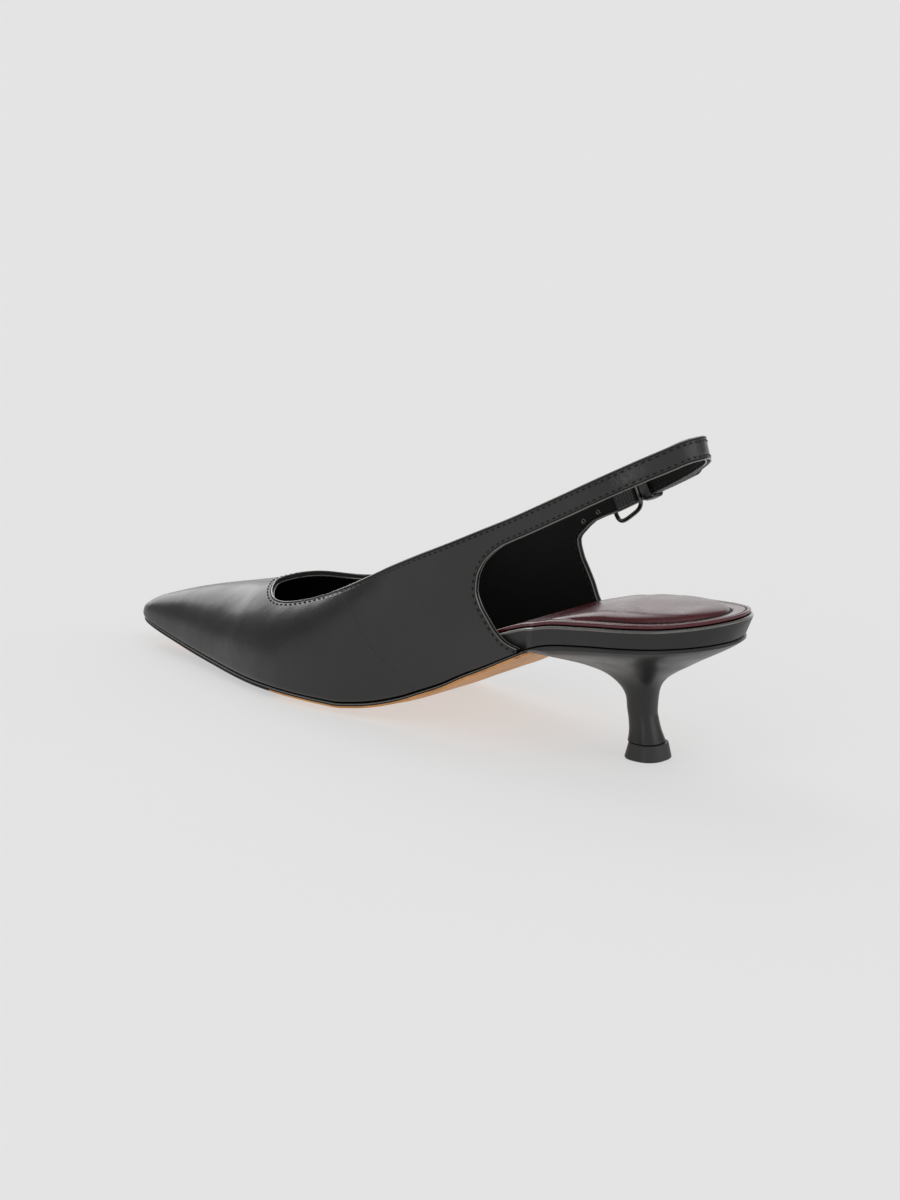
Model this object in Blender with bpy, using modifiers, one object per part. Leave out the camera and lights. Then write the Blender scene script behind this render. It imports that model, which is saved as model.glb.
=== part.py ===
"""Slingback pump with a pointed toe and a kitten heel, right shoe.

Metres, +Z up. The toe points to -Y, the inner (medial) side faces +X, and the origin is the middle of
the top lift's lower face, on the floor. Stations run from the toe's tip, 0, to the rear of the seat, 1.
"""

import math

import bmesh
import bpy
import numpy as np

MM = 0.001

for leftover in list(bpy.data.objects):
    bpy.data.objects.remove(leftover)

PARTS = bpy.data.collections.new("slingback_pump")
bpy.context.scene.collection.children.link(PARTS)

# Overall sizes
SHOE_LENGTH = 268.5 * MM
HEEL_SETBACK = 33.5 * MM
BALL_WIDTH = 77.0 * MM
SEAT_WIDTH = 55.5 * MM
SEAT_HEIGHT = 43.8 * MM
VAMP_HEIGHT = 32.0 * MM
SLING_HEIGHT = 114.9 * MM
SLING_FORWARD = 16.5 * MM
SLING_WIDTH = 50.0 * MM
SLING_ROUND = 37.0 * MM
SLING_LEAN = 2.2 * MM
SLING_SIDE = -1.0 * MM
SEAT_FLARE = 2.8 * MM

# Walls and clearances
UPPER_WALL = 1.8 * MM
SOLE_THICKNESS = 4.0 * MM
SOLE_EDGE = 1.8 * MM
SEAT_EDGE = 7.3 * MM
SOCK_THICKNESS = 1.2 * MM
CLEARANCE = 0.3 * MM
SOLE_INSET = 0.5 * MM
SOCK_INSET = 1.0 * MM

# Heel and strap hardware
PAD_CROWN = 3.4 * MM
PAD_RIM = 6.3 * MM
PAD_FRONT = -32.0 * MM
PAD_FADE = 26.0 * MM
STRAP_WIDTH = 7.6 * MM
STEM_WIDTH = 10.0 * MM
LIFT_WIDTH = 16.0 * MM
LIFT_DEPTH = 14.8 * MM
LIFT_HEIGHT = 5.6 * MM
BUCKLE_WIRE = 1.6 * MM
BUCKLE_LENGTH = 16.4 * MM
BUCKLE_ROOM = 2.2 * MM
BUCKLE_SAG = 1.7 * MM
ELASTIC_THICKNESS = 1.4 * MM
ELASTIC_LENGTH = 7.8 * MM
KEEPER_WIDTH = 3.5 * MM
KEEPER_THICKNESS = 0.9 * MM
TAIL_LIFT = UPPER_WALL + 0.5 * MM

TOE_Y = HEEL_SETBACK - SHOE_LENGTH
REAR_Y = HEEL_SETBACK
SLING_REAR = REAR_Y - SLING_FORWARD
SIDE_NAMES = {1: "medial", -1: "lateral"}

# Stations where pieces begin and end
PLACES = dict(
    sling=0.706,
    band=0.740,
    breast=0.749,
    band_out=0.758,
    buckle=0.766,
    keeper=0.777,
    tail=0.876,
)


def columns(names, rows):
    """A short table as one array for each named column."""
    return {name: np.array(column, float) for name, column in zip(names, zip(*rows))}


# Plan of the seam between upper and sole: half widths on each side of the heel's axis, and the side
# offset of the vamp's ridge, as shares of the ball's width.
PLAN = columns(
    ("station", "medial", "lateral", "ridge"),
    (
        (0.000, 0.000, 0.000, 0.000),
        (0.015, 0.066, 0.066, -0.002),
        (0.037, 0.100, 0.102, -0.005),
        (0.082, 0.155, 0.168, -0.012),
        (0.130, 0.213, 0.240, -0.023),
        (0.197, 0.292, 0.338, -0.042),
        (0.264, 0.372, 0.430, -0.055),
        (0.316, 0.420, 0.492, -0.062),
        (0.361, 0.444, 0.524, -0.065),
        (0.398, 0.450, 0.530, -0.065),
        (0.447, 0.441, 0.520, -0.062),
        (0.503, 0.415, 0.488, -0.052),
        (0.577, 0.383, 0.436, -0.036),
        (0.652, 0.365, 0.392, -0.020),
        (0.726, 0.363, 0.368, -0.010),
    ),
)

# Half widths of the seat, as shares of the seat's width.
SEAT_PLAN = columns(
    ("station", "medial", "lateral"),
    (
        (0.726, 0.504, 0.514),
        (0.801, 0.504, 0.496),
        (0.875, 0.500, 0.490),
        (0.931, 0.444, 0.444),
        (0.968, 0.336, 0.345),
        (1.000, 0.000, 0.000),
    ),
)

# Rise of the sole's seam over the tread, as shares of the seat's rise, and the height of the foot bed
# over that seam, as shares of the seat's edge.
PROFILE = columns(
    ("station", "rise", "bed"),
    (
        (0.000, 0.145, 0.38),
        (0.037, 0.111, 0.38),
        (0.093, 0.073, 0.38),
        (0.168, 0.034, 0.38),
        (0.242, 0.010, 0.38),
        (0.300, 0.000, 0.38),
        (0.391, 0.000, 0.45),
        (0.447, 0.000, 0.68),
        (0.477, 0.024, 0.80),
        (0.503, 0.058, 0.91),
        (0.547, 0.150, 1.18),
        (0.581, 0.249, 1.38),
        (0.615, 0.354, 1.54),
        (0.646, 0.470, 1.64),
        (0.679, 0.581, 1.65),
        (0.711, 0.695, 1.55),
        (0.740, 0.797, 1.36),
        (0.758, 0.856, 1.22),
        (0.786, 0.915, 1.17),
        (0.831, 0.964, 1.14),
        (0.875, 1.000, 1.14),
        (0.931, 1.036, 1.18),
        (0.970, 1.063, 1.27),
        (1.000, 1.085, 1.36),
    ),
)

# Ridge of the last over the vamp and instep, as shares of the vamp's height. Behind the throat it is
# the height that the side walls would close at.
RIDGE = columns(
    ("station", "height"),
    (
        (0.000, 0.375),
        (0.008, 0.447),
        (0.026, 0.540),
        (0.060, 0.650),
        (0.097, 0.752),
        (0.142, 0.853),
        (0.182, 0.930),
        (0.229, 1.030),
        (0.250, 1.095),
        (0.276, 1.152),
        (0.313, 1.215),
        (0.354, 1.338),
        (0.384, 1.460),
        (0.432, 1.780),
        (0.499, 2.500),
        (0.566, 4.000),
        (0.652, 6.200),
        (1.000, 6.200),
    ),
)

# Throat: the topline's distance from the ridge on each side, as a share of the half width there.
THROAT = columns(
    ("station", "medial", "lateral"),
    (
        (0.248, 0.000, 0.000),
        (0.251, 0.200, 0.240),
        (0.260, 0.340, 0.410),
        (0.270, 0.450, 0.530),
        (0.281, 0.535, 0.615),
        (0.300, 0.615, 0.675),
        (0.330, 0.648, 0.715),
        (0.360, 0.655, 0.745),
        (0.391, 0.666, 0.774),
    ),
)

# Topline from the ball to the sling, as shares of the sling's height.
TOPLINE = columns(
    ("station", "height"),
    (
        (0.391, 0.334),
        (0.432, 0.378),
        (0.473, 0.427),
        (0.514, 0.478),
        (0.566, 0.539),
        (0.622, 0.603),
        (0.670, 0.660),
        (0.715, 0.713),
        (0.760, 0.770),
        (0.806, 0.829),
        (0.845, 0.880),
        (0.893, 0.942),
        (0.918, 0.974),
        (0.935, 0.997),
        (0.938, 1.000),
    ),
)

# Cut-out's edge from the rear tip of the quarter up to the strap: stations on each side, at heights that
# are shares of the sling's height.
CUTOUT = columns(
    ("height", "medial", "lateral"),
    (
        (0.320, 0.737, 0.737),
        (0.329, 0.720, 0.729),
        (0.353, 0.702, 0.719),
        (0.389, 0.685, 0.709),
        (0.427, 0.671, 0.702),
        (0.468, 0.664, 0.692),
        (0.506, 0.665, 0.682),
        (0.551, 0.672, 0.676),
        (0.594, 0.687, 0.689),
        (0.622, 0.702, 0.702),
    ),
)

# Shape of the last's section and splay of the sling, by side
SECTION_POWER = {1: 2.2, -1: 2.8}
SLING_SPLAY = {1: 0.06, -1: 0.09}
SIDE_TUCK = 0.035

# Rows and steps of the upper's grids
VAMP_ROWS = 15
THROAT_ROWS = 12
QUARTER_ROWS = 11
TIP_ROWS = 8
ROOT_ROWS = 6
ARCH_STEPS = 8
CUT_STEP = 5
HEEL_SIDE_POINTS = 14


def along(station):
    """World Y of a station."""
    return TOE_Y + np.asarray(station, float) * SHOE_LENGTH


def station_of(y):
    """Station of a world Y."""
    return (np.asarray(y, float) - TOE_Y) / SHOE_LENGTH


def smooth_curve(x, xs, ys):
    """Cubic through the points, flat wherever they turn, so that it never overshoots them."""
    x = np.clip(np.asarray(x, float), xs[0], xs[-1])
    widths = np.diff(xs)
    slopes = np.diff(ys) / widths
    tangents = np.zeros(len(xs))
    before, after = slopes[:-1], slopes[1:]
    same_way = before * after > 0
    weight_a = 2 * widths[1:] + widths[:-1]
    weight_b = widths[1:] + 2 * widths[:-1]
    safe_before = np.where(same_way, before, 1.0)
    safe_after = np.where(same_way, after, 1.0)
    mean = (weight_a + weight_b) / (weight_a / safe_before + weight_b / safe_after)
    tangents[1:-1] = np.where(same_way, mean, 0.0)
    tangents[0], tangents[-1] = slopes[0], slopes[-1]
    index = np.clip(np.searchsorted(xs, x, side="right") - 1, 0, len(widths) - 1)
    width = widths[index]
    t = (x - xs[index]) / width
    rise = t * t * (3 - 2 * t)
    return (
        ys[index] * (1 - rise)
        + ys[index + 1] * rise
        + tangents[index] * width * t * (1 - t) ** 2
        - tangents[index + 1] * width * t * t * (1 - t)
    )


def ease(x):
    """Smooth step from 0 to 1."""
    t = np.clip(x, 0.0, 1.0)
    return t * t * (3 - 2 * t)


def turn_of(station):
    """Angle whose cosine spreads the stations, which makes toe and seat end round instead of sharp."""
    return np.arccos(np.clip(1 - 2 * np.asarray(station, float), -1.0, 1.0))


def half_width(y, side):
    """Half width of the seam on one side: +1 medial, -1 lateral."""
    name = SIDE_NAMES[side]
    stations = np.concatenate([PLAN["station"][:-1], SEAT_PLAN["station"]])
    widths = np.concatenate([PLAN[name][:-1] * BALL_WIDTH, SEAT_PLAN[name] * SEAT_WIDTH])
    return smooth_curve(turn_of(station_of(y)), turn_of(stations), widths)


def ridge_side(y):
    """World X of the vamp's ridge."""
    return smooth_curve(station_of(y), PLAN["station"], PLAN["ridge"]) * BALL_WIDTH


def seam_height(y):
    """Height of the outsole's upper face and, behind the breast, of the seat's underside."""
    rise = smooth_curve(station_of(y), PROFILE["station"], PROFILE["rise"])
    return SOLE_THICKNESS + rise * (SEAT_HEIGHT - SOLE_THICKNESS)


def bed_height(y):
    """Height of the foot bed at its rim."""
    return seam_height(y) + smooth_curve(station_of(y), PROFILE["station"], PROFILE["bed"]) * SEAT_EDGE


def ridge_height(y):
    """Height that the last's section closes at."""
    stations = turn_of(RIDGE["station"])
    return smooth_curve(turn_of(station_of(y)), stations, RIDGE["height"]) * VAMP_HEIGHT


def upper_foot(y):
    """Height of the upper's lower edge, just over the outsole."""
    return seam_height(y) + CLEARANCE


def section_power(y, side):
    """How square the last's section is: alike on both sides at the toe, fuller on the lateral side behind."""
    return between(SECTION_POWER[1], SECTION_POWER[side], ease(station_of(y) / 0.2))


def arch_angle(y, z, side):
    """Angle round the last's section at a height: 0 at the seam, a right angle on the ridge."""
    share = (z - upper_foot(y)) / (ridge_height(y) - upper_foot(y))
    return np.arcsin(np.clip(share, 0.0, 1.0) ** (section_power(y, side) / 2))


def arch_height(y, angle, side):
    """Height of the last's section at an angle."""
    reach = ridge_height(y) - upper_foot(y)
    return upper_foot(y) + reach * np.sin(angle) ** (2 / section_power(y, side))


def arch_side(y, angle, side):
    """World X of the last's section at an angle, swollen a little just over the seam."""
    reach = half_width(y, side) - side * ridge_side(y)
    share = np.abs(np.cos(angle)) ** (2 / section_power(y, side)) + SIDE_TUCK * np.sin(2 * angle)
    return ridge_side(y) + side * reach * share


def sling_plan(y, side):
    """World X of one side of the sling: half an ellipse at the rear, then sides that splay forwards."""
    start = SLING_REAR - SLING_ROUND
    behind = np.clip((y - start) / SLING_ROUND, 0.0, 1.0)
    splay = np.clip(start - y, 0.0, None) * SLING_SPLAY[side]
    return SLING_SIDE + side * (SLING_WIDTH / 2 * np.sqrt(1 - behind**2) + splay)


def topline_height(y):
    """Height of the topline and of the sling's upper edge."""
    return smooth_curve(station_of(y), TOPLINE["station"], TOPLINE["height"]) * SLING_HEIGHT


def paint(obj, colour, roughness, metallic=0.0):
    """Gives an object its own material."""
    material = bpy.data.materials.new(obj.name)
    material.use_nodes = True
    shader = material.node_tree.nodes["Principled BSDF"]
    shader.inputs["Base Color"].default_value = (*colour, 1.0)
    shader.inputs["Roughness"].default_value = roughness
    shader.inputs["Metallic"].default_value = metallic
    obj.data.materials.append(material)


def mesh_object(name, points, faces, colour, roughness):
    """A named object with its own material, from points and faces."""
    mesh = bpy.data.meshes.new(name)
    mesh.from_pydata([tuple(p) for p in points], [], [tuple(f) for f in faces])
    obj = bpy.data.objects.new(name, mesh)
    PARTS.objects.link(obj)
    paint(obj, colour, roughness)
    return obj


def merged(obj, closed=True):
    """The same object with coincident points merged and, where it is closed, its faces turned outwards."""
    shape = bmesh.new()
    shape.from_mesh(obj.data)
    bmesh.ops.remove_doubles(shape, verts=shape.verts, dist=0.00001)
    bmesh.ops.dissolve_degenerate(shape, edges=shape.edges, dist=0.00001)
    if closed:
        bmesh.ops.recalc_face_normals(shape, faces=shape.faces)
    shape.to_mesh(obj.data)
    shape.free()
    obj.data.shade_smooth()
    obj.data.set_sharp_from_angle(angle=math.radians(40))
    return obj


def grid_faces(rows, steps, start=0, flip=False):
    """Quads of a grid whose points are stored row by row from an index on."""
    faces = []
    for row in range(rows - 1):
        for step in range(steps - 1):
            a = start + row * steps + step
            b, c, d = a + 1, a + steps + 1, a + steps
            faces.append((a, d, c, b) if flip else (a, b, c, d))
    return faces


# Upper


def between(a, b, t):
    """Straight mix of two values."""
    return a + (b - a) * t


def skin_point(y, angle, side):
    """Point on the upper's outside, at an angle round the last's section."""
    z = arch_height(y, angle, side)
    behind = ease((station_of(y) - 0.60) / 0.09)
    over = ease((z - upper_foot(y) - 4 * MM) / (26 * MM))
    weight = behind * over
    x = between(arch_side(y, angle, side), sling_plan(y, side), weight)
    return np.stack(np.broadcast_arrays(x, y, z), axis=-1)


def curve_through(table, names, share):
    """Points at shares of a table's own length, on a smooth curve through its rows."""
    stored = np.stack([table[name] for name in names], axis=1)
    lengths = np.concatenate([[0.0], np.cumsum(np.linalg.norm(np.diff(stored, axis=0), axis=1))])
    return [smooth_curve(share * lengths[-1], lengths, stored[:, i]) for i in range(len(names))]


def cutout_edge(share, side):
    """Y and height on the cut-out's edge: -1 at the quarter's rear tip, 0 at its front, 1 at the strap."""
    stations = CUTOUT[SIDE_NAMES[side]]
    stored = np.stack([stations, CUTOUT["height"]], axis=1)
    lengths = np.concatenate([[0.0], np.cumsum(np.linalg.norm(np.diff(stored, axis=0), axis=1))])
    middle = lengths[np.argmin(stations)]
    at = middle + np.where(share < 0, share * middle, share * (lengths[-1] - middle))
    station = smooth_curve(at, lengths, stations)
    height = smooth_curve(at, lengths, CUTOUT["height"])
    return along(station), height * SLING_HEIGHT


def front_grid(side):
    """Points of one side of vamp and quarter as far back as the cut-out, line by line from the seam up."""
    throat_y = along(THROAT["station"][0])
    vamp = TOE_Y + (throat_y - TOE_Y) * np.linspace(0, 1, VAMP_ROWS) ** 1.8
    share = np.linspace(0, 1, THROAT_ROWS + 1)[1:]
    station, offset = curve_through(THROAT, ("station", SIDE_NAMES[side]), share)
    front_y, front_z = cutout_edge(np.array(0.0), side)
    back = np.linspace(along(THROAT["station"][-1]), front_y, QUARTER_ROWS + 1)[1:]
    beside = np.linspace(throat_y, along(THROAT["station"][-1]), THROAT_ROWS + 1)[1:]
    y = np.concatenate([vamp, along(station), back])
    seam_y = np.concatenate([vamp, beside, back])
    top = np.concatenate(
        [
            np.full(VAMP_ROWS, math.pi / 2),
            np.arccos(offset ** (section_power(along(station), side) / 2)),
            arch_angle(back, topline_height(back), side),
        ]
    )
    split = CUT_STEP / ARCH_STEPS
    toward = np.clip((y - back[0]) / (front_y - back[0]), 0.0, 1.0)
    middle = between(top * split, arch_angle(y, front_z, side), ease(toward))
    t = np.linspace(0, 1, ARCH_STEPS + 1)
    below = middle[:, None] * np.clip(t / split, 0, 1)
    above = (top - middle)[:, None] * np.clip((t - split) / (1 - split), 0, 1)
    return skin_point(between(seam_y[:, None], y[:, None], t), below + above, side)


def quarter_tip(side):
    """Points of the quarter's rear tip, between the seam and the cut-out's lower edge."""
    share = -np.linspace(0, 1, TIP_ROWS + 1)[1:]
    y, z = cutout_edge(share, side)
    t = np.linspace(0, 1, CUT_STEP + 1)
    return skin_point(y[:, None], arch_angle(y, z, side)[:, None] * t, side)


def strap_root(side):
    """Points where the quarter narrows into the strap, between the cut-out's upper edge and the topline."""
    share = np.linspace(0, 1, ROOT_ROWS + 1)[1:]
    lower_y, lower_z = cutout_edge(share, side)
    front_y, _ = cutout_edge(np.array(0.0), side)
    upper_y = between(front_y, along(PLACES["sling"]) - STRAP_WIDTH * 0.47, share)
    t = np.linspace(0, 1, ARCH_STEPS - CUT_STEP + 1)
    lower = arch_angle(lower_y, lower_z, side)[:, None]
    upper = arch_angle(upper_y, topline_height(upper_y), side)[:, None]
    y = between(lower_y[:, None], upper_y[:, None], t)
    return skin_point(y, between(lower, upper, t), side)


def sling_path(side):
    """The sling's upper edge seen from above, from one quarter round the heel to the other."""
    start = SLING_REAR - SLING_ROUND
    front = np.linspace(along(PLACES["sling"]) - STRAP_WIDTH, start, 40)
    turn = np.linspace(0, math.pi, 181)[1:-1]
    y = np.concatenate([front, start + SLING_ROUND * np.sin(turn), front[::-1]])
    heel = SLING_SIDE + side * SLING_WIDTH / 2 * np.cos(turn)
    x = np.concatenate([sling_plan(front, side), heel, sling_plan(front, -side)[::-1]])
    length = np.concatenate([[0.0], np.cumsum(np.hypot(np.diff(x), np.diff(y)))])
    return x, y, topline_height(y), length


def strap_point(side, place, down, lift):
    """Point at a place along the sling's upper edge, some way down the strap and lifted off its outside."""
    x, y, z, length = sling_path(side)
    lean = np.interp(place, length, np.arctan(np.gradient(z, length)))
    at = place + down * np.sin(lean)
    behind = (np.interp(place, length, y) - SLING_REAR + SLING_ROUND) / SLING_ROUND
    lift = lift - SLING_LEAN * (1 - down / STRAP_WIDTH) * ease(behind)
    across_x = np.interp(at, length, np.gradient(y, length)) * side
    across_y = -np.interp(at, length, np.gradient(x, length)) * side
    px = np.interp(at, length, x) + lift * across_x
    py = np.interp(at, length, y) + lift * across_y
    pz = np.interp(place, length, z) - down * np.cos(lean)
    return np.stack(np.broadcast_arrays(px, py, pz), axis=-1)


def sling_grid(side, places, lift=0.0, narrow=1.0):
    """Lines across the strap at places along it, lifted off it and narrowed at will."""
    t = np.linspace(0, 1, ARCH_STEPS - CUT_STEP + 1)
    down = STRAP_WIDTH * (0.5 + (0.5 - t) * np.reshape(narrow, (-1, 1)))
    return strap_point(side, np.reshape(places, (-1, 1)), down, np.reshape(lift, (-1, 1)))


def place_at(side_sign, y):
    """Length along the sling's upper edge where it passes a Y: +1 on its first half, -1 on its second."""
    _, path_y, _, length = sling_path(1)
    middle = len(path_y) // 2
    if side_sign > 0:
        return np.interp(y, path_y[: middle + 1], length[: middle + 1])
    return np.interp(-np.asarray(y), -path_y[middle:], length[middle:])


def sling_rows():
    """Places of the sling's lines: far apart on its straight sides, close round the heel."""
    start = SLING_REAR - SLING_ROUND
    sides = place_at(1, np.linspace(along(PLACES["sling"]), start, 6)[:-1])
    turn = np.linspace(0, math.pi, 27)
    round_y = start + SLING_ROUND * np.sin(turn)
    first = place_at(1, round_y[:13])
    second = place_at(-1, round_y[13:])
    end = place_at(-1, along(PLACES["buckle"]) + BUCKLE_WIRE / 2 + 2 * CLEARANCE)
    return np.concatenate([sides, first, second, [end]])


def build_upper():
    """Vamp, quarters, sling and buckle strap as one wall, open at the throat, the heel and underneath."""
    tail_y = np.linspace(along(PLACES["sling"]), along(PLACES["tail"]), 15)
    tail_lift = TAIL_LIFT * ease((station_of(tail_y) - PLACES["sling"]) / 0.018)
    tail_narrow = np.sqrt(np.clip((along(PLACES["tail"]) + 1 * MM - tail_y) / (STRAP_WIDTH * 0.8), 0.1, 1.0))
    straps = {
        1: sling_grid(1, sling_rows()),
        -1: sling_grid(-1, place_at(1, tail_y), tail_lift, tail_narrow),
    }
    points, faces = [], []
    for side, strap in straps.items():
        front = front_grid(side)
        tip = np.concatenate([front[-1:, : CUT_STEP + 1], quarter_tip(side)])
        root = np.concatenate([front[-1:, CUT_STEP:], strap_root(side), strap])
        for patch in (front, tip, root):
            rows, steps = patch.shape[:2]
            faces += grid_faces(rows, steps, start=len(points), flip=side > 0)
            points += list(patch.reshape(-1, 3))
    upper = merged(mesh_object("upper", points, faces, (0.012, 0.011, 0.010), 0.42), closed=False)
    wall = upper.modifiers.new("wall", "SOLIDIFY")
    wall.thickness = UPPER_WALL
    wall.offset = -1.0
    return upper


def plate(name, under, over, colour, roughness):
    """A closed piece from two grids of points, one under the other, joined round their edges."""
    rows, count = under.shape[:2]
    points = np.concatenate([under.reshape(-1, 3), over.reshape(-1, 3)])
    faces = grid_faces(rows, count, flip=True)
    faces += grid_faces(rows, count, start=rows * count)
    rim = [row * count for row in range(rows)]
    rim += [(rows - 1) * count + step for step in range(1, count)]
    rim += [row * count + count - 1 for row in range(rows - 2, -1, -1)]
    rim += [step for step in range(count - 2, 0, -1)]
    for here, there in zip(rim, rim[1:] + rim[:1]):
        faces.append((here, there, there + rows * count, here + rows * count))
    return merged(mesh_object(name, points, faces, colour, roughness))


def flared(y, out):
    """World Y moved rearwards at the back of the seat, where its edge leans outwards towards the rim."""
    return y + out * SEAT_FLARE * ease(y / REAR_Y)


def slab(name, y, inset, low, high, colour, roughness, steps=8, flare=(0.0, 0.0)):
    """A plate over the shoe's plan, inset from the seam. Its heights are functions of x, y and the shelf.

    The shelf runs from -1 on the lateral edge to 1 on the medial edge. The flare is that of its lower and
    of its upper face.
    """
    shelf = np.sin(np.linspace(-math.pi / 2, math.pi / 2, steps + 1))
    left = -np.clip(half_width(y, -1) - inset, 0.0, None)
    right = np.clip(half_width(y, 1) - inset, 0.0, None)
    x = between(left[:, None], right[:, None], (shelf + 1) / 2)
    y = np.broadcast_to(y[:, None], x.shape)
    under = np.stack([x, flared(y, flare[0]), low(x, y, shelf)], axis=-1)
    over = np.stack([x, flared(y, flare[1]), high(x, y, shelf)], axis=-1)
    return plate(name, under, over, colour, roughness)


def lofted(name, rings, colour, roughness, ring_closed=False):
    """A closed piece through rings of points: capped at both ends, or closed on itself like a link."""
    rings = np.asarray(rings)
    count, around = rings.shape[:2]
    faces = []
    for ring in range(count if ring_closed else count - 1):
        for i in range(around):
            j = (i + 1) % around
            here, there = ring * around, (ring + 1) % count * around
            faces.append((here + i, here + j, there + j, there + i))
    if not ring_closed:
        faces.append(tuple(range(around))[::-1])
        faces.append(tuple(range((count - 1) * around, count * around)))
    return merged(mesh_object(name, rings.reshape(-1, 3), faces, colour, roughness))


def wire(name, points, radius, colour, roughness, cyclic=False):
    """A round wire along points, closed on itself or with filled ends."""
    curve = bpy.data.curves.new(name, "CURVE")
    curve.dimensions = "3D"
    curve.bevel_depth = radius
    curve.bevel_resolution = 2
    curve.use_fill_caps = not cyclic
    spline = curve.splines.new("POLY")
    spline.points.add(len(points) - 1)
    for stored, point in zip(spline.points, points):
        stored.co = (*point, 1.0)
    spline.use_cyclic_u = cyclic
    obj = bpy.data.objects.new(name, curve)
    PARTS.objects.link(obj)
    paint(obj, colour, roughness, 1.0)
    return obj


# Sole, board and sock


def full_length(first):
    """World Y of rows from a station near the toe, past the quarter's tip, round to the rear."""
    front = between(first, PLACES["band"], np.linspace(0, 1, 28) ** 1.3)
    tuck = between(PLACES["band"], PLACES["band_out"], np.linspace(0, 1, 4)[1:])
    turn = np.linspace(0, math.pi / 2, 13)[1:]
    return along(np.concatenate([front, tuck, between(PLACES["band_out"], 0.9995, np.sin(turn))]))


def inside_upper(y):
    """Inset of what lies inside the upper's wall and, behind the quarter's tip, comes out to the edge."""
    behind = ease((station_of(y) - PLACES["band"]) / (PLACES["band_out"] - PLACES["band"]))
    return (UPPER_WALL + 2 * CLEARANCE) * (1 - behind)


def build_outsole():
    """Leather outsole from the toe to the heel's breast: flat at the tread, thinner at waist and edges."""

    def low(x, y, shelf):
        middle = SOLE_THICKNESS * (1 - 0.45 * ease((station_of(y) - 0.45) / 0.15))
        return seam_height(y) - between(middle, SOLE_EDGE, ease((np.abs(shelf) - 0.4) / 0.6))

    def high(x, y, shelf):
        return seam_height(y)

    y = along(between(0.004, PLACES["breast"] - 0.001, np.linspace(0, 1, 40) ** 1.3))
    slab("outsole", y, SOLE_INSET, low, high, (0.53, 0.27, 0.13), 0.5)


def build_insole_board():
    """Board wrapped in leather. It is hidden inside the upper, and its edge is the band of the seat."""

    def low(x, y, shelf):
        return seam_height(y) + CLEARANCE

    def high(x, y, shelf):
        return bed_height(y) - SOCK_THICKNESS - CLEARANCE

    y = full_length(0.016)
    black = (0.012, 0.011, 0.010)
    slab("insole_board", y, inside_upper(y), low, high, black, 0.45, steps=14, flare=(0.0, 1.0))


def pad_rise(x, y):
    """Height of the sock's pad over its rim: a low wall inside an oval, then a crown towards the middle."""
    beside = np.where(x > 0, half_width(y, 1), half_width(y, -1)) - np.abs(x)
    behind = (1 - np.hypot(2 * x / SEAT_WIDTH, y / REAR_Y)) * SEAT_WIDTH / 2
    inside = np.where(y > 0, behind, beside) - PAD_RIM
    rise = 0.6 * ease(inside / (3 * MM)) + 0.4 * ease(inside / (20 * MM))
    return PAD_CROWN * rise * ease((y - PAD_FRONT) / PAD_FADE)


def build_insole():
    """Full-length leather sock with a padded heel."""

    def low(x, y, shelf):
        return bed_height(y) - SOCK_THICKNESS

    def high(x, y, shelf):
        return bed_height(y) + pad_rise(x, y)

    y = full_length(0.016)
    inset = inside_upper(y) + SOCK_INSET
    slab("insole", y, inset, low, high, (0.06, 0.008, 0.012), 0.35, steps=14, flare=(1.0, 1.0))


# Heel and top lift

# Stem from the top lift up: height as a share of the way to the seat, and half width, depth and the
# middle's Y as shares of the stem's width.
STEM = columns(
    ("height", "half", "depth", "middle"),
    (
        (0.000, 0.640, 1.220, -0.080),
        (0.055, 0.575, 1.120, -0.120),
        (0.110, 0.525, 1.050, -0.165),
        (0.200, 0.490, 1.000, -0.240),
        (0.290, 0.490, 1.010, -0.310),
    ),
)

# Flare from the stem to the seat's outline: share of the way out, and the drops under the seat at the
# rear and at the breast, as shares of the seat's height.
FLARE = columns(
    ("share", "rear", "breast"),
    (
        (0.02, 0.455, 0.490),
        (0.09, 0.370, 0.392),
        (0.22, 0.306, 0.296),
        (0.40, 0.240, 0.220),
        (0.57, 0.180, 0.170),
        (0.75, 0.123, 0.126),
        (0.92, 0.064, 0.082),
        (1.00, 0.028, 0.041),
        (1.00, 0.000, 0.000),
    ),
)

# Top lift: height as a share of its own, and how far its sides stand in as a share of its width.
LIFT = columns(
    ("height", "inset"),
    (
        (0.00, 0.016),
        (0.07, 0.000),
        (0.86, 0.062),
        (1.00, 0.074),
    ),
)


def stem_outline(half, depth, middle):
    """Outline of the stem: round at the rear, flat at the breast. It runs from the rear by the medial side."""
    turn = np.linspace(0, 0.84 * math.pi, HEEL_SIDE_POINTS)
    x = half * np.sin(turn) ** 0.8
    y = middle + depth / 2 * np.sign(np.cos(turn)) * np.abs(np.cos(turn)) ** 0.8
    return around_heel(x, y, x)


def seat_outline():
    """Outline of the seat behind the breast, with as many points as the stem's."""
    turn = np.linspace(0, math.pi / 2, HEEL_SIDE_POINTS)
    y = between(along(PLACES["breast"]), REAR_Y - 0.2 * MM, np.cos(turn))
    return around_heel(half_width(y, 1), y, half_width(y, -1))


def around_heel(medial, y, lateral):
    """One closed outline from the rear round both sides, with the two half widths at each Y."""
    x = np.concatenate([medial, [0.0], -lateral[::-1]])
    x[0] = (medial[0] - lateral[0]) / 2
    return np.stack([x, np.concatenate([y, y[-1:], y[::-1]])], axis=1)[:-1]


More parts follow.
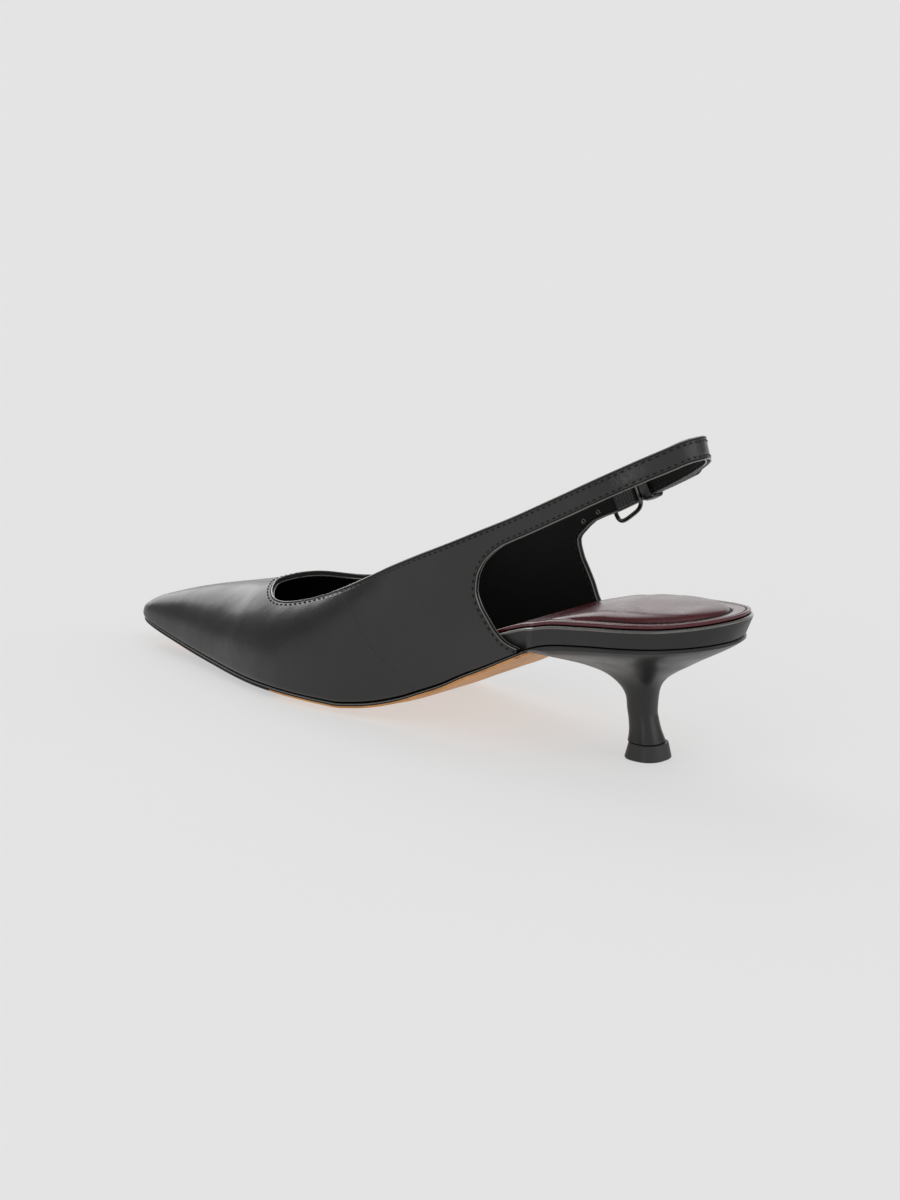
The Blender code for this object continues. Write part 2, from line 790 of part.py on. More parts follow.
def build_heel():
    """Kitten heel: a slim stem that flares into a cup under the seat, with a thin lip at its breast."""
    rings = []
    for height, half, depth, middle in zip(*STEM.values()):
        outline = stem_outline(half * STEM_WIDTH, depth * STEM_WIDTH, middle * STEM_WIDTH)
        z = between(LIFT_HEIGHT + CLEARANCE, SEAT_HEIGHT, height)
        rings.append(np.column_stack([outline, np.full(len(outline), z)]))
    seat = seat_outline()
    rearward = (seat[:, 1] - seat[:, 1].min()) / np.ptp(seat[:, 1])
    for share, rear, breast in zip(*FLARE.values()):
        flat = between(outline, seat, share)
        lip = between(1.0, between(0.12, 1.0, ease(rearward / 0.14)), share**6)
        drop = between(breast, rear, ease(rearward)) * lip * SEAT_HEIGHT
        rings.append(np.column_stack([flat, seam_height(flat[:, 1]) - drop]))
    lofted("heel", rings, (0.012, 0.011, 0.010), 0.35)


def build_top_lift():
    """Top piece under the stem, standing a little proud of it."""
    rings = []
    for height, inset in zip(*LIFT.values()):
        inset = inset * LIFT_WIDTH
        outline = stem_outline(LIFT_WIDTH / 2 - inset, LIFT_DEPTH - 2 * inset, 0.0)
        rings.append(np.column_stack([outline, np.full(len(outline), height * LIFT_HEIGHT)]))
    lofted("top_lift", rings, (0.02, 0.02, 0.02), 0.6)


# Buckle on the lateral strap

STEEL = (0.45, 0.45, 0.46)


def build_elastic():
    """Ruched elastic between the quarter and the buckle's bar, inside the buckle strap."""
    first = along(PLACES["buckle"]) - BUCKLE_WIRE / 2 - CLEARANCE - 1.2 * MM
    y = np.linspace(first - ELASTIC_LENGTH, first, 25)
    place = place_at(1, y)[:, None]
    down = STRAP_WIDTH * np.linspace(0.06, 0.94, 4)[None, :]
    outside = TAIL_LIFT - UPPER_WALL - CLEARANCE
    ribs = 0.35 * MM * np.sin(np.linspace(0, 6 * math.pi, 25))[:, None] ** 2
    under = strap_point(-1, place, down, outside - ELASTIC_THICKNESS + ribs)
    over = strap_point(-1, place, down, outside)
    plate("strap_elastic", under, over, (0.02, 0.02, 0.02), 0.7)


def build_buckle():
    """Rounded frame round the strap, its bar inside the buckle strap, and the prong over the front."""
    bar = along(PLACES["buckle"])
    front = bar - BUCKLE_LENGTH + BUCKLE_WIRE
    half = STRAP_WIDTH / 2 + BUCKLE_ROOM + BUCKLE_WIRE / 2 - 0.6 * MM
    turn = np.linspace(0, 2 * math.pi, 25)[:-1]
    square = 0.5
    way = np.sign(np.cos(turn)) * np.abs(np.cos(turn)) ** square
    rise = np.sign(np.sin(turn)) * np.abs(np.sin(turn)) ** square
    bar_lift = TAIL_LIFT - UPPER_WALL - CLEARANCE - BUCKLE_WIRE / 2
    front_lift = TAIL_LIFT + CLEARANCE + BUCKLE_WIRE / 2
    y = between(front, bar, (way + 1) / 2)
    lift = between(front_lift, bar_lift, (way + 1) / 2)
    down = STRAP_WIDTH / 2 + half * rise + BUCKLE_SAG * (1 - way) / 2
    frame = strap_point(-1, place_at(1, y), down, lift)
    wire("buckle_frame", frame, BUCKLE_WIRE / 2, STEEL, 0.25, cyclic=True)
    y = np.array([bar, bar - 3 * MM, front + 3 * MM, front - 0.4 * MM])
    radius = BUCKLE_WIRE * 0.4
    over_strap = TAIL_LIFT + CLEARANCE + radius
    lift = np.array([over_strap, over_strap, front_lift + BUCKLE_WIRE / 2, front_lift + BUCKLE_WIRE / 2])
    lift[2:] += CLEARANCE + radius
    prong = strap_point(-1, place_at(1, y), STRAP_WIDTH / 2, lift)
    wire("buckle_prong", prong, radius, STEEL, 0.25)


def build_keeper():
    """Thin leather loop round the sling and the end of the buckle strap."""
    place = place_at(1, along(PLACES["keeper"]) + np.array([0.0, KEEPER_WIDTH]))
    corners = np.linspace(0, 2 * math.pi, 17)[:-1]
    square = 0.4
    across = np.sign(np.cos(corners)) * np.abs(np.cos(corners)) ** square
    rise = np.sign(np.sin(corners)) * np.abs(np.sin(corners)) ** square
    middle = (TAIL_LIFT - UPPER_WALL) / 2
    rings = []
    for at, thick in ((place[0], 0), (place[1], 0), (place[1], 1), (place[0], 1)):
        reach = (TAIL_LIFT + UPPER_WALL) / 2 + 0.8 * MM + thick * KEEPER_THICKNESS
        tall = STRAP_WIDTH / 2 + 0.5 * MM + thick * KEEPER_THICKNESS
        rings.append(strap_point(-1, at, STRAP_WIDTH / 2 + tall * rise, middle + reach * across))
    lofted("strap_keeper", rings, (0.012, 0.011, 0.010), 0.4, ring_closed=True)


def main():
    build_upper()
    build_outsole()
    build_insole_board()
    build_insole()
    build_heel()
    build_top_lift()
    build_elastic()
    build_buckle()
    build_keeper()


main()
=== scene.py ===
"""Slingback pump with a pointed toe and a kitten heel, right shoe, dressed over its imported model.

Metres, +Z up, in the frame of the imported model. The toe points to -Y, the inner (medial) side faces +X, and
the origin is the middle of the top lift's lower face, on the floor. Stations run from the toe's tip, 0, to
the rear of the seat, 1.
"""

import math

import bmesh
import bpy
import numpy as np
from mathutils import Matrix, Vector


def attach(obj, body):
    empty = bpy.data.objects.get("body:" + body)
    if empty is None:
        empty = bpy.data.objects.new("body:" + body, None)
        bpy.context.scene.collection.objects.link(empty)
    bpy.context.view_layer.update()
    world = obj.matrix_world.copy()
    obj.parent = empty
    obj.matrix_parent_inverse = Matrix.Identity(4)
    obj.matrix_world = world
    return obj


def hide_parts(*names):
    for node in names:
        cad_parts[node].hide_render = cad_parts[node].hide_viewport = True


bl_info = {
    "name": "Slingback pump",
    "version": (1, 0, 0),
    "blender": (4, 5, 0),
    "location": "3D View > Sidebar > Shoe",
    "description": "Dresses the packed slingback pump with leather, stitches, sock, heel and buckle",
    "category": "Object",
}

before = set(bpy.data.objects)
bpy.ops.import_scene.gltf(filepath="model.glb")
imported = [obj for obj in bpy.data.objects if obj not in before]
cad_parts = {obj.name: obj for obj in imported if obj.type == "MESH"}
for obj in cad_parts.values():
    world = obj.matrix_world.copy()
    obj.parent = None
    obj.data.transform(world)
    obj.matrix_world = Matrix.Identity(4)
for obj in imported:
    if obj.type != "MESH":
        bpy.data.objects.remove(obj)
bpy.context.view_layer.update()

MM = 0.001
BODY = "root"

# Overall sizes of the shoe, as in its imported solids
SHOE_LENGTH = 268.5 * MM
HEEL_SETBACK = 33.5 * MM
BALL_WIDTH = 77.0 * MM
SEAT_WIDTH = 55.5 * MM
SEAT_HEIGHT = 43.8 * MM
VAMP_HEIGHT = 32.0 * MM
SLING_HEIGHT = 114.9 * MM
SLING_FORWARD = 16.5 * MM
SLING_WIDTH = 50.0 * MM

# Walls and clearances
UPPER_WALL = 1.8 * MM
SOLE_THICKNESS = 4.0 * MM
SOLE_EDGE = 1.8 * MM
SEAT_EDGE = 7.3 * MM
SOCK_THICKNESS = 1.2 * MM
CLEARANCE = 0.3 * MM
SOLE_INSET = 0.5 * MM
SOCK_INSET = 1.0 * MM
SEAT_FLARE = 2.8 * MM

# Heel and strap hardware
PAD_CROWN = 3.4 * MM
PAD_RIM = 6.3 * MM
PAD_FRONT = -32.0 * MM
PAD_FADE = 26.0 * MM
STRAP_WIDTH = 7.6 * MM
STEM_WIDTH = 10.0 * MM
LIFT_WIDTH = 16.0 * MM
LIFT_DEPTH = 14.8 * MM
LIFT_HEIGHT = 5.6 * MM
BUCKLE_WIRE = 1.6 * MM
BUCKLE_LENGTH = 16.4 * MM
BUCKLE_ROOM = 2.2 * MM
BUCKLE_SAG = 1.7 * MM
ELASTIC_THICKNESS = 1.4 * MM
ELASTIC_LENGTH = 7.8 * MM
KEEPER_WIDTH = 3.5 * MM
KEEPER_THICKNESS = 0.9 * MM
TAIL_LIFT = UPPER_WALL + 0.5 * MM

# Stations where pieces begin and end
PLACES = dict(
    sling=0.706,
    band=0.740,
    breast=0.749,
    band_out=0.758,
    buckle=0.766,
    keeper=0.777,
    tail=0.876,
)

# Ends of the shoe, and the sling's shape
TOE_Y = HEEL_SETBACK - SHOE_LENGTH
REAR_Y = HEEL_SETBACK
SIDE_NAMES = {1: "medial", -1: "lateral"}
SLING_REAR = REAR_Y - SLING_FORWARD
SLING_ROUND = 37.0 * MM
SLING_LEAN = 2.2 * MM
SLING_SPLAY = {1: 0.06, -1: 0.09}
SLING_SIDE = -1.0 * MM

# Shape of the last's section, by side, and its swelling over the seam
SECTION_POWER = {1: 2.2, -1: 2.8}
SIDE_TUCK = 0.035

# Distance of the stitches from the cut edge and from the throat's, and the heights between which the
# leather of the straps is pulled
STITCH_INSET = 1.4 * MM
THROAT_INSET = 1.75 * MM
STRAP_PULL = (70 * MM, 100 * MM)

# Steps round a corner of the shoe's bottom, and the end of the ink on its edge: behind this station the
# lower corner is bare, and before it this many strips under the corner are inked too
CORNER_STEPS = 9
INK_END = 0.33
INK_STRIPS = 35

# Y and Z of the spare holes in the buckle strap, and the sides of a rolled bead
HOLE_PLACES = ((-51.2 * MM, 70.65 * MM), (-44.5 * MM, 75.14 * MM))
BEAD_SIDES = 8

# Section of the keeper's strip: share of its width, and of its thickness
KEEPER_SECTION = (
    (0.0, 0.15),
    (0.08, 0.0),
    (0.92, 0.0),
    (1.0, 0.15),
    (1.0, 0.8),
    (0.92, 1.0),
    (0.08, 1.0),
    (0.0, 0.8),
)

# Rows and steps of the leather's grids, and of the heel's outline
VAMP_ROWS = 45
THROAT_ROWS = 40
QUARTER_ROWS = 36
TIP_ROWS = 24
ROOT_ROWS = 18
TAIL_ROWS = 60
ARCH_STEPS = 24
CUT_STEP = 15
HEEL_SIDE_POINTS = 44


def columns(names, rows):
    """A short table as one array for each named column."""
    return {name: np.array(column, float) for name, column in zip(names, zip(*rows))}


# Plan of the seam between upper and sole: half widths on each side of the heel's axis, and the side
# offset of the vamp's ridge, as shares of the ball's width.
PLAN = columns(
    ("station", "medial", "lateral", "ridge"),
    (
        (0.000, 0.000, 0.000, 0.000),
        (0.015, 0.066, 0.066, -0.002),
        (0.037, 0.100, 0.102, -0.005),
        (0.082, 0.155, 0.168, -0.012),
        (0.130, 0.213, 0.240, -0.023),
        (0.197, 0.292, 0.338, -0.042),
        (0.264, 0.372, 0.430, -0.055),
        (0.316, 0.420, 0.492, -0.062),
        (0.361, 0.444, 0.524, -0.065),
        (0.398, 0.450, 0.530, -0.065),
        (0.447, 0.441, 0.520, -0.062),
        (0.503, 0.415, 0.488, -0.052),
        (0.577, 0.383, 0.436, -0.036),
        (0.652, 0.365, 0.392, -0.020),
        (0.726, 0.363, 0.368, -0.010),
    ),
)

# Half widths of the seat, as shares of the seat's width.
SEAT_PLAN = columns(
    ("station", "medial", "lateral"),
    (
        (0.726, 0.504, 0.514),
        (0.801, 0.504, 0.496),
        (0.875, 0.500, 0.490),
        (0.931, 0.444, 0.444),
        (0.968, 0.336, 0.345),
        (1.000, 0.000, 0.000),
    ),
)

# Rise of the sole's seam over the tread, as shares of the seat's rise, and the height of the foot bed
# over that seam, as shares of the seat's edge.
PROFILE = columns(
    ("station", "rise", "bed"),
    (
        (0.000, 0.145, 0.38),
        (0.037, 0.111, 0.38),
        (0.093, 0.073, 0.38),
        (0.168, 0.034, 0.38),
        (0.242, 0.010, 0.38),
        (0.300, 0.000, 0.38),
        (0.391, 0.000, 0.45),
        (0.447, 0.000, 0.68),
        (0.477, 0.024, 0.80),
        (0.503, 0.058, 0.91),
        (0.547, 0.150, 1.18),
        (0.581, 0.249, 1.38),
        (0.615, 0.354, 1.54),
        (0.646, 0.470, 1.64),
        (0.679, 0.581, 1.65),
        (0.711, 0.695, 1.55),
        (0.740, 0.797, 1.36),
        (0.758, 0.856, 1.22),
        (0.786, 0.915, 1.17),
        (0.831, 0.964, 1.14),
        (0.875, 1.000, 1.14),
        (0.931, 1.036, 1.18),
        (0.970, 1.063, 1.27),
        (1.000, 1.085, 1.36),
    ),
)

# Ridge of the last over the vamp and instep, as shares of the vamp's height. Behind the throat it is
# the height that the side walls would close at.
RIDGE = columns(
    ("station", "height"),
    (
        (0.000, 0.375),
        (0.008, 0.447),
        (0.026, 0.540),
        (0.060, 0.650),
        (0.097, 0.752),
        (0.142, 0.853),
        (0.182, 0.930),
        (0.229, 1.030),
        (0.250, 1.095),
        (0.276, 1.152),
        (0.313, 1.215),
        (0.354, 1.338),
        (0.384, 1.460),
        (0.432, 1.780),
        (0.499, 2.500),
        (0.566, 4.000),
        (0.652, 6.200),
        (1.000, 6.200),
    ),
)

# Throat: the topline's distance from the ridge on each side, as a share of the half width there.
THROAT = columns(
    ("station", "medial", "lateral"),
    (
        (0.248, 0.000, 0.000),
        (0.251, 0.200, 0.240),
        (0.260, 0.340, 0.410),
        (0.270, 0.450, 0.530),
        (0.281, 0.535, 0.615),
        (0.300, 0.615, 0.675),
        (0.330, 0.648, 0.715),
        (0.360, 0.655, 0.745),
        (0.391, 0.666, 0.774),
    ),
)

# Topline from the ball to the sling, as shares of the sling's height.
TOPLINE = columns(
    ("station", "height"),
    (
        (0.391, 0.334),
        (0.432, 0.378),
        (0.473, 0.427),
        (0.514, 0.478),
        (0.566, 0.539),
        (0.622, 0.603),
        (0.670, 0.660),
        (0.715, 0.713),
        (0.760, 0.770),
        (0.806, 0.829),
        (0.845, 0.880),
        (0.893, 0.942),
        (0.918, 0.974),
        (0.935, 0.997),
        (0.938, 1.000),
    ),
)

# Cut-out's edge from the rear tip of the quarter up to the strap: stations on each side, at heights that
# are shares of the sling's height.
CUTOUT = columns(
    ("height", "medial", "lateral"),
    (
        (0.320, 0.737, 0.737),
        (0.329, 0.720, 0.729),
        (0.353, 0.702, 0.719),
        (0.389, 0.685, 0.709),
        (0.427, 0.671, 0.702),
        (0.468, 0.664, 0.692),
        (0.506, 0.665, 0.682),
        (0.551, 0.672, 0.676),
        (0.594, 0.687, 0.689),
        (0.622, 0.702, 0.702),
    ),
)

# Stem from the top lift up: height as a share of the way to the seat, and half width, depth and the
# middle's Y as shares of the stem's width.
STEM = columns(
    ("height", "half", "depth", "middle"),
    (
        (0.000, 0.640, 1.220, -0.080),
        (0.055, 0.575, 1.120, -0.120),
        (0.110, 0.525, 1.050, -0.165),
        (0.200, 0.490, 1.000, -0.240),
        (0.290, 0.490, 1.010, -0.310),
    ),
)

# Flare from the stem to the seat's outline: share of the way out, and the drops under the seat at the
# rear and at the breast, as shares of the seat's height.
FLARE = columns(
    ("share", "rear", "breast"),
    (
        (0.02, 0.455, 0.490),
        (0.09, 0.370, 0.392),
        (0.22, 0.306, 0.296),
        (0.40, 0.240, 0.220),
        (0.57, 0.180, 0.170),
        (0.75, 0.123, 0.126),
        (0.92, 0.064, 0.082),
        (1.00, 0.028, 0.041),
        (1.00, 0.000, 0.000),
    ),
)

# Top lift: height as a share of its own, and how far its sides stand in as a share of its width.
LIFT = columns(
    ("height", "inset"),
    (
        (0.00, 0.016),
        (0.07, 0.000),
        (0.86, 0.062),
        (1.00, 0.074),
    ),
)

# Soft creases of the worn-in leather: middle's station and share of the side's height, slope in degrees,
# length and width in mm, and depth in mm, below nought where the leather bulges.
CREASES = columns(
    ("side", "station", "rise", "slope", "length", "width", "depth"),
    (
        (1, 0.205, 0.66, 35.0, 9.0, 3.4, 0.10),
        (1, 0.235, 0.56, 50.0, 11.0, 3.6, 0.09),
        (1, 0.345, 0.62, 70.0, 15.0, 3.4, 0.07),
        (1, 0.325, 0.66, 66.0, 14.0, 3.8, -0.06),
        (1, 0.610, 0.62, 40.0, 13.0, 4.2, 0.12),
        (1, 0.575, 0.80, 30.0, 15.0, 4.0, -0.08),
        (1, 0.120, 0.60, 20.0, 12.0, 4.0, 0.07),
        (-1, 0.310, 0.66, 62.0, 13.0, 3.6, 0.09),
        (-1, 0.360, 0.60, 72.0, 14.0, 3.6, 0.08),
        (-1, 0.600, 0.60, 38.0, 12.0, 4.2, 0.10),
        (-1, 0.130, 0.55, 24.0, 12.0, 4.0, 0.07),
    ),
)

# Seam between vamp and quarter on the medial side: share of the side's height at stations.
SIDE_SEAM = columns(
    ("station", "rise"),
    (
        (0.437, 0.985),
        (0.449, 0.893),
        (0.473, 0.693),
        (0.483, 0.590),
        (0.500, 0.455),
        (0.534, 0.257),
        (0.550, 0.168),
        (0.573, 0.020),
    ),
)


def along(station):
    """World Y of a station."""
    return TOE_Y + np.asarray(station, float) * SHOE_LENGTH


def station_of(y):
    """Station of a world Y."""
    return (np.asarray(y, float) - TOE_Y) / SHOE_LENGTH


def smooth_curve(x, xs, ys):
    """Cubic through the points, flat wherever they turn, so that it never overshoots them."""
    x = np.clip(np.asarray(x, float), xs[0], xs[-1])
    widths = np.diff(xs)
    slopes = np.diff(ys) / widths
    tangents = np.zeros(len(xs))
    before, after = slopes[:-1], slopes[1:]
    same_way = before * after > 0
    weight_a = 2 * widths[1:] + widths[:-1]
    weight_b = widths[1:] + 2 * widths[:-1]
    safe_before = np.where(same_way, before, 1.0)
    safe_after = np.where(same_way, after, 1.0)
    mean = (weight_a + weight_b) / (weight_a / safe_before + weight_b / safe_after)
    tangents[1:-1] = np.where(same_way, mean, 0.0)
    tangents[0], tangents[-1] = slopes[0], slopes[-1]
    index = np.clip(np.searchsorted(xs, x, side="right") - 1, 0, len(widths) - 1)
    width = widths[index]
    t = (x - xs[index]) / width
    rise = t * t * (3 - 2 * t)
    return (
        ys[index] * (1 - rise)
        + ys[index + 1] * rise
        + tangents[index] * width * t * (1 - t) ** 2
        - tangents[index + 1] * width * t * t * (1 - t)
    )


def ease(x):
    """Smooth step from 0 to 1."""
    t = np.clip(x, 0.0, 1.0)
    return t * t * (3 - 2 * t)


def turn_of(station):
    """Angle whose cosine spreads the stations, which makes toe and seat end round instead of sharp."""
    return np.arccos(np.clip(1 - 2 * np.asarray(station, float), -1.0, 1.0))


def half_width(y, side):
    """Half width of the seam on one side: +1 medial, -1 lateral."""
    name = SIDE_NAMES[side]
    stations = np.concatenate([PLAN["station"][:-1], SEAT_PLAN["station"]])
    widths = np.concatenate([PLAN[name][:-1] * BALL_WIDTH, SEAT_PLAN[name] * SEAT_WIDTH])
    return smooth_curve(turn_of(station_of(y)), turn_of(stations), widths)


def ridge_side(y):
    """World X of the vamp's ridge."""
    return smooth_curve(station_of(y), PLAN["station"], PLAN["ridge"]) * BALL_WIDTH


def seam_height(y):
    """Height of the outsole's upper face and, behind the breast, of the seat's underside."""
    rise = smooth_curve(station_of(y), PROFILE["station"], PROFILE["rise"])
    return SOLE_THICKNESS + rise * (SEAT_HEIGHT - SOLE_THICKNESS)


def bed_height(y):
    """Height of the foot bed at its rim."""
    return seam_height(y) + smooth_curve(station_of(y), PROFILE["station"], PROFILE["bed"]) * SEAT_EDGE


def ridge_height(y):
    """Height that the last's section closes at."""
    stations = turn_of(RIDGE["station"])
    return smooth_curve(turn_of(station_of(y)), stations, RIDGE["height"]) * VAMP_HEIGHT


def upper_foot(y):
    """Height of the upper's lower edge, just over the outsole."""
    return seam_height(y) + CLEARANCE


def between(a, b, t):
    """Straight mix of two values."""
    return a + (b - a) * t


def section_power(y, side):
    """How square the last's section is: alike on both sides at the toe, fuller on the lateral side behind."""
    return between(SECTION_POWER[1], SECTION_POWER[side], ease(station_of(y) / 0.2))


def arch_angle(y, z, side):
    """Angle round the last's section at a height: 0 at the seam, a right angle on the ridge."""
    share = (z - upper_foot(y)) / (ridge_height(y) - upper_foot(y))
    return np.arcsin(np.clip(share, 0.0, 1.0) ** (section_power(y, side) / 2))


def arch_height(y, angle, side):
    """Height of the last's section at an angle."""
    reach = ridge_height(y) - upper_foot(y)
    return upper_foot(y) + reach * np.sin(angle) ** (2 / section_power(y, side))


def arch_side(y, angle, side):
    """World X of the last's section at an angle, swollen a little just over the seam."""
    reach = half_width(y, side) - side * ridge_side(y)
    share = np.abs(np.cos(angle)) ** (2 / section_power(y, side)) + SIDE_TUCK * np.sin(2 * angle)
    return ridge_side(y) + side * reach * share


def sling_plan(y, side):
    """World X of one side of the sling: half an ellipse at the rear, then sides that splay forwards."""
    start = SLING_REAR - SLING_ROUND
    behind = np.clip((y - start) / SLING_ROUND, 0.0, 1.0)
    splay = np.clip(start - y, 0.0, None) * SLING_SPLAY[side]
    return SLING_SIDE + side * (SLING_WIDTH / 2 * np.sqrt(1 - behind**2) + splay)


def topline_height(y):
    """Height of the topline and of the sling's upper edge."""
    return smooth_curve(station_of(y), TOPLINE["station"], TOPLINE["height"]) * SLING_HEIGHT


def skin_point(y, angle, side):
    """Point on the upper's outside, at an angle round the last's section."""
    z = arch_height(y, angle, side)
    behind = ease((station_of(y) - 0.60) / 0.09)
    over = ease((z - upper_foot(y) - 4 * MM) / (26 * MM))
    weight = behind * over
    x = between(arch_side(y, angle, side), sling_plan(y, side), weight)
    return np.stack(np.broadcast_arrays(x, y, z), axis=-1)


def curve_through(table, names, share):
    """Points at shares of a table's own length, on a smooth curve through its rows."""
    stored = np.stack([table[name] for name in names], axis=1)
    lengths = np.concatenate([[0.0], np.cumsum(np.linalg.norm(np.diff(stored, axis=0), axis=1))])
    return [smooth_curve(share * lengths[-1], lengths, stored[:, i]) for i in range(len(names))]


def cutout_edge(share, side):
    """Y and height on the cut-out's edge: -1 at the quarter's rear tip, 0 at its front, 1 at the strap."""
    stations = CUTOUT[SIDE_NAMES[side]]
    stored = np.stack([stations, CUTOUT["height"]], axis=1)
    lengths = np.concatenate([[0.0], np.cumsum(np.linalg.norm(np.diff(stored, axis=0), axis=1))])
    middle = lengths[np.argmin(stations)]
    at = middle + np.where(share < 0, share * middle, share * (lengths[-1] - middle))
    station = smooth_curve(at, lengths, stations)
    height = smooth_curve(at, lengths, CUTOUT["height"])
    return along(station), height * SLING_HEIGHT


def front_grid(side):
    """Points of one side of vamp and quarter as far back as the cut-out, line by line from the seam up."""
    throat_y = along(THROAT["station"][0])
    vamp = TOE_Y + (throat_y - TOE_Y) * np.linspace(0, 1, VAMP_ROWS) ** 1.8
    share = np.linspace(0, 1, THROAT_ROWS + 1)[1:]
    station, offset = curve_through(THROAT, ("station", SIDE_NAMES[side]), share)
    front_y, front_z = cutout_edge(np.array(0.0), side)
    back = np.linspace(along(THROAT["station"][-1]), front_y, QUARTER_ROWS + 1)[1:]
    beside = np.linspace(throat_y, along(THROAT["station"][-1]), THROAT_ROWS + 1)[1:]
    y = np.concatenate([vamp, along(station), back])
    seam_y = np.concatenate([vamp, beside, back])
    top = np.concatenate(
        [
            np.full(VAMP_ROWS, math.pi / 2),
            np.arccos(offset ** (section_power(along(station), side) / 2)),
            arch_angle(back, topline_height(back), side),
        ]
    )
    split = CUT_STEP / ARCH_STEPS
    toward = np.clip((y - back[0]) / (front_y - back[0]), 0.0, 1.0)
    middle = between(top * split, arch_angle(y, front_z, side), ease(toward))
    t = np.linspace(0, 1, ARCH_STEPS + 1)
    below = middle[:, None] * np.clip(t / split, 0, 1)
    above = (top - middle)[:, None] * np.clip((t - split) / (1 - split), 0, 1)
    return skin_point(between(seam_y[:, None], y[:, None], t), below + above, side)


def quarter_tip(side):
    """Points of the quarter's rear tip, between the seam and the cut-out's lower edge."""
    share = -np.linspace(0, 1, TIP_ROWS + 1)[1:]
    y, z = cutout_edge(share, side)
    t = np.linspace(0, 1, CUT_STEP + 1)
    return skin_point(y[:, None], arch_angle(y, z, side)[:, None] * t, side)


def strap_root(side):
    """Points where the quarter narrows into the strap, between the cut-out's upper edge and the topline."""
    share = np.linspace(0, 1, ROOT_ROWS + 1)[1:]
    lower_y, lower_z = cutout_edge(share, side)
    front_y, _ = cutout_edge(np.array(0.0), side)
    upper_y = between(front_y, along(PLACES["sling"]) - STRAP_WIDTH * 0.47, share)
    t = np.linspace(0, 1, ARCH_STEPS - CUT_STEP + 1)
    lower = arch_angle(lower_y, lower_z, side)[:, None]
    upper = arch_angle(upper_y, topline_height(upper_y), side)[:, None]
    y = between(lower_y[:, None], upper_y[:, None], t)
    return skin_point(y, between(lower, upper, t), side)


def sling_path(side):
    """The sling's upper edge seen from above, from one quarter round the heel to the other."""
    start = SLING_REAR - SLING_ROUND
    front = np.linspace(along(PLACES["sling"]) - STRAP_WIDTH, start, 40)
    turn = np.linspace(0, math.pi, 181)[1:-1]
    y = np.concatenate([front, start + SLING_ROUND * np.sin(turn), front[::-1]])
    heel = SLING_SIDE + side * SLING_WIDTH / 2 * np.cos(turn)
    x = np.concatenate([sling_plan(front, side), heel, sling_plan(front, -side)[::-1]])
    length = np.concatenate([[0.0], np.cumsum(np.hypot(np.diff(x), np.diff(y)))])
    return x, y, topline_height(y), length


def strap_point(side, place, down, lift):
    """Point at a place along the sling's upper edge, some way down the strap and lifted off its outside."""
    x, y, z, length = sling_path(side)
    lean = np.interp(place, length, np.arctan(np.gradient(z, length)))
    at = place + down * np.sin(lean)
    behind = (np.interp(place, length, y) - SLING_REAR + SLING_ROUND) / SLING_ROUND
    lift = lift - SLING_LEAN * (1 - down / STRAP_WIDTH) * ease(behind)
    across_x = np.interp(at, length, np.gradient(y, length)) * side
    across_y = -np.interp(at, length, np.gradient(x, length)) * side
    px = np.interp(at, length, x) + lift * across_x
    py = np.interp(at, length, y) + lift * across_y
    pz = np.interp(place, length, z) - down * np.cos(lean)
    return np.stack(np.broadcast_arrays(px, py, pz), axis=-1)


def sling_grid(side, places, lift=0.0, narrow=1.0):
    """Lines across the strap at places along it, lifted off it and narrowed at will."""
    t = np.linspace(0, 1, ARCH_STEPS - CUT_STEP + 1)
    down = STRAP_WIDTH * (0.5 + (0.5 - t) * np.reshape(narrow, (-1, 1)))
    return strap_point(side, np.reshape(places, (-1, 1)), down, np.reshape(lift, (-1, 1)))


def place_at(side_sign, y):
    """Length along the sling's upper edge where it passes a Y: +1 on its first half, -1 on its second."""
    _, path_y, _, length = sling_path(1)
    middle = len(path_y) // 2
    if side_sign > 0:
        return np.interp(y, path_y[: middle + 1], length[: middle + 1])
    return np.interp(-np.asarray(y), -path_y[middle:], length[middle:])


def sling_rows():
    """Places of the sling's lines: evenly apart on its straight sides, by angle round the heel."""
    start = SLING_REAR - SLING_ROUND
    sides = place_at(1, np.linspace(along(PLACES["sling"]), start, 12)[:-1])
    turn = np.linspace(0, math.pi, 81)
    round_y = start + SLING_ROUND * np.sin(turn)
    first = place_at(1, round_y[:40])
    second = place_at(-1, round_y[40:])
    end = place_at(-1, along(PLACES["buckle"]) + BUCKLE_WIRE / 2 + 2 * CLEARANCE)
    return np.concatenate([sides, first, second, [end]])


def skin_patches():
    """The upper's outside as grids of points: front, quarter's tip, and strap root with its strap, by side.

    The strap's half width narrows at the tail's tip as the root of the distance from its end.
    """
    tail_y = np.linspace(along(PLACES["sling"]), along(PLACES["tail"]), TAIL_ROWS)
    tail_lift = TAIL_LIFT * ease((station_of(tail_y) - PLACES["sling"]) / 0.018)
    tail_narrow = np.sqrt(np.clip((along(PLACES["tail"]) + 1 * MM - tail_y) / (STRAP_WIDTH * 0.8), 0.1, 1.0))
    straps = {
        1: sling_grid(1, sling_rows()),
        -1: sling_grid(-1, place_at(1, tail_y), tail_lift, tail_narrow),
    }
    patches = {}
    for side, strap in straps.items():
        front = front_grid(side)
        tip = np.concatenate([front[-1:, : CUT_STEP + 1], quarter_tip(side)])
        root = np.concatenate([front[-1:, CUT_STEP:], strap_root(side), strap])
        patches[side] = (front, tip, root)
    return patches


def unit(vectors):
    """The same vectors, each of length one."""
    return vectors / np.maximum(np.linalg.norm(vectors, axis=-1, keepdims=True), 1e-12)


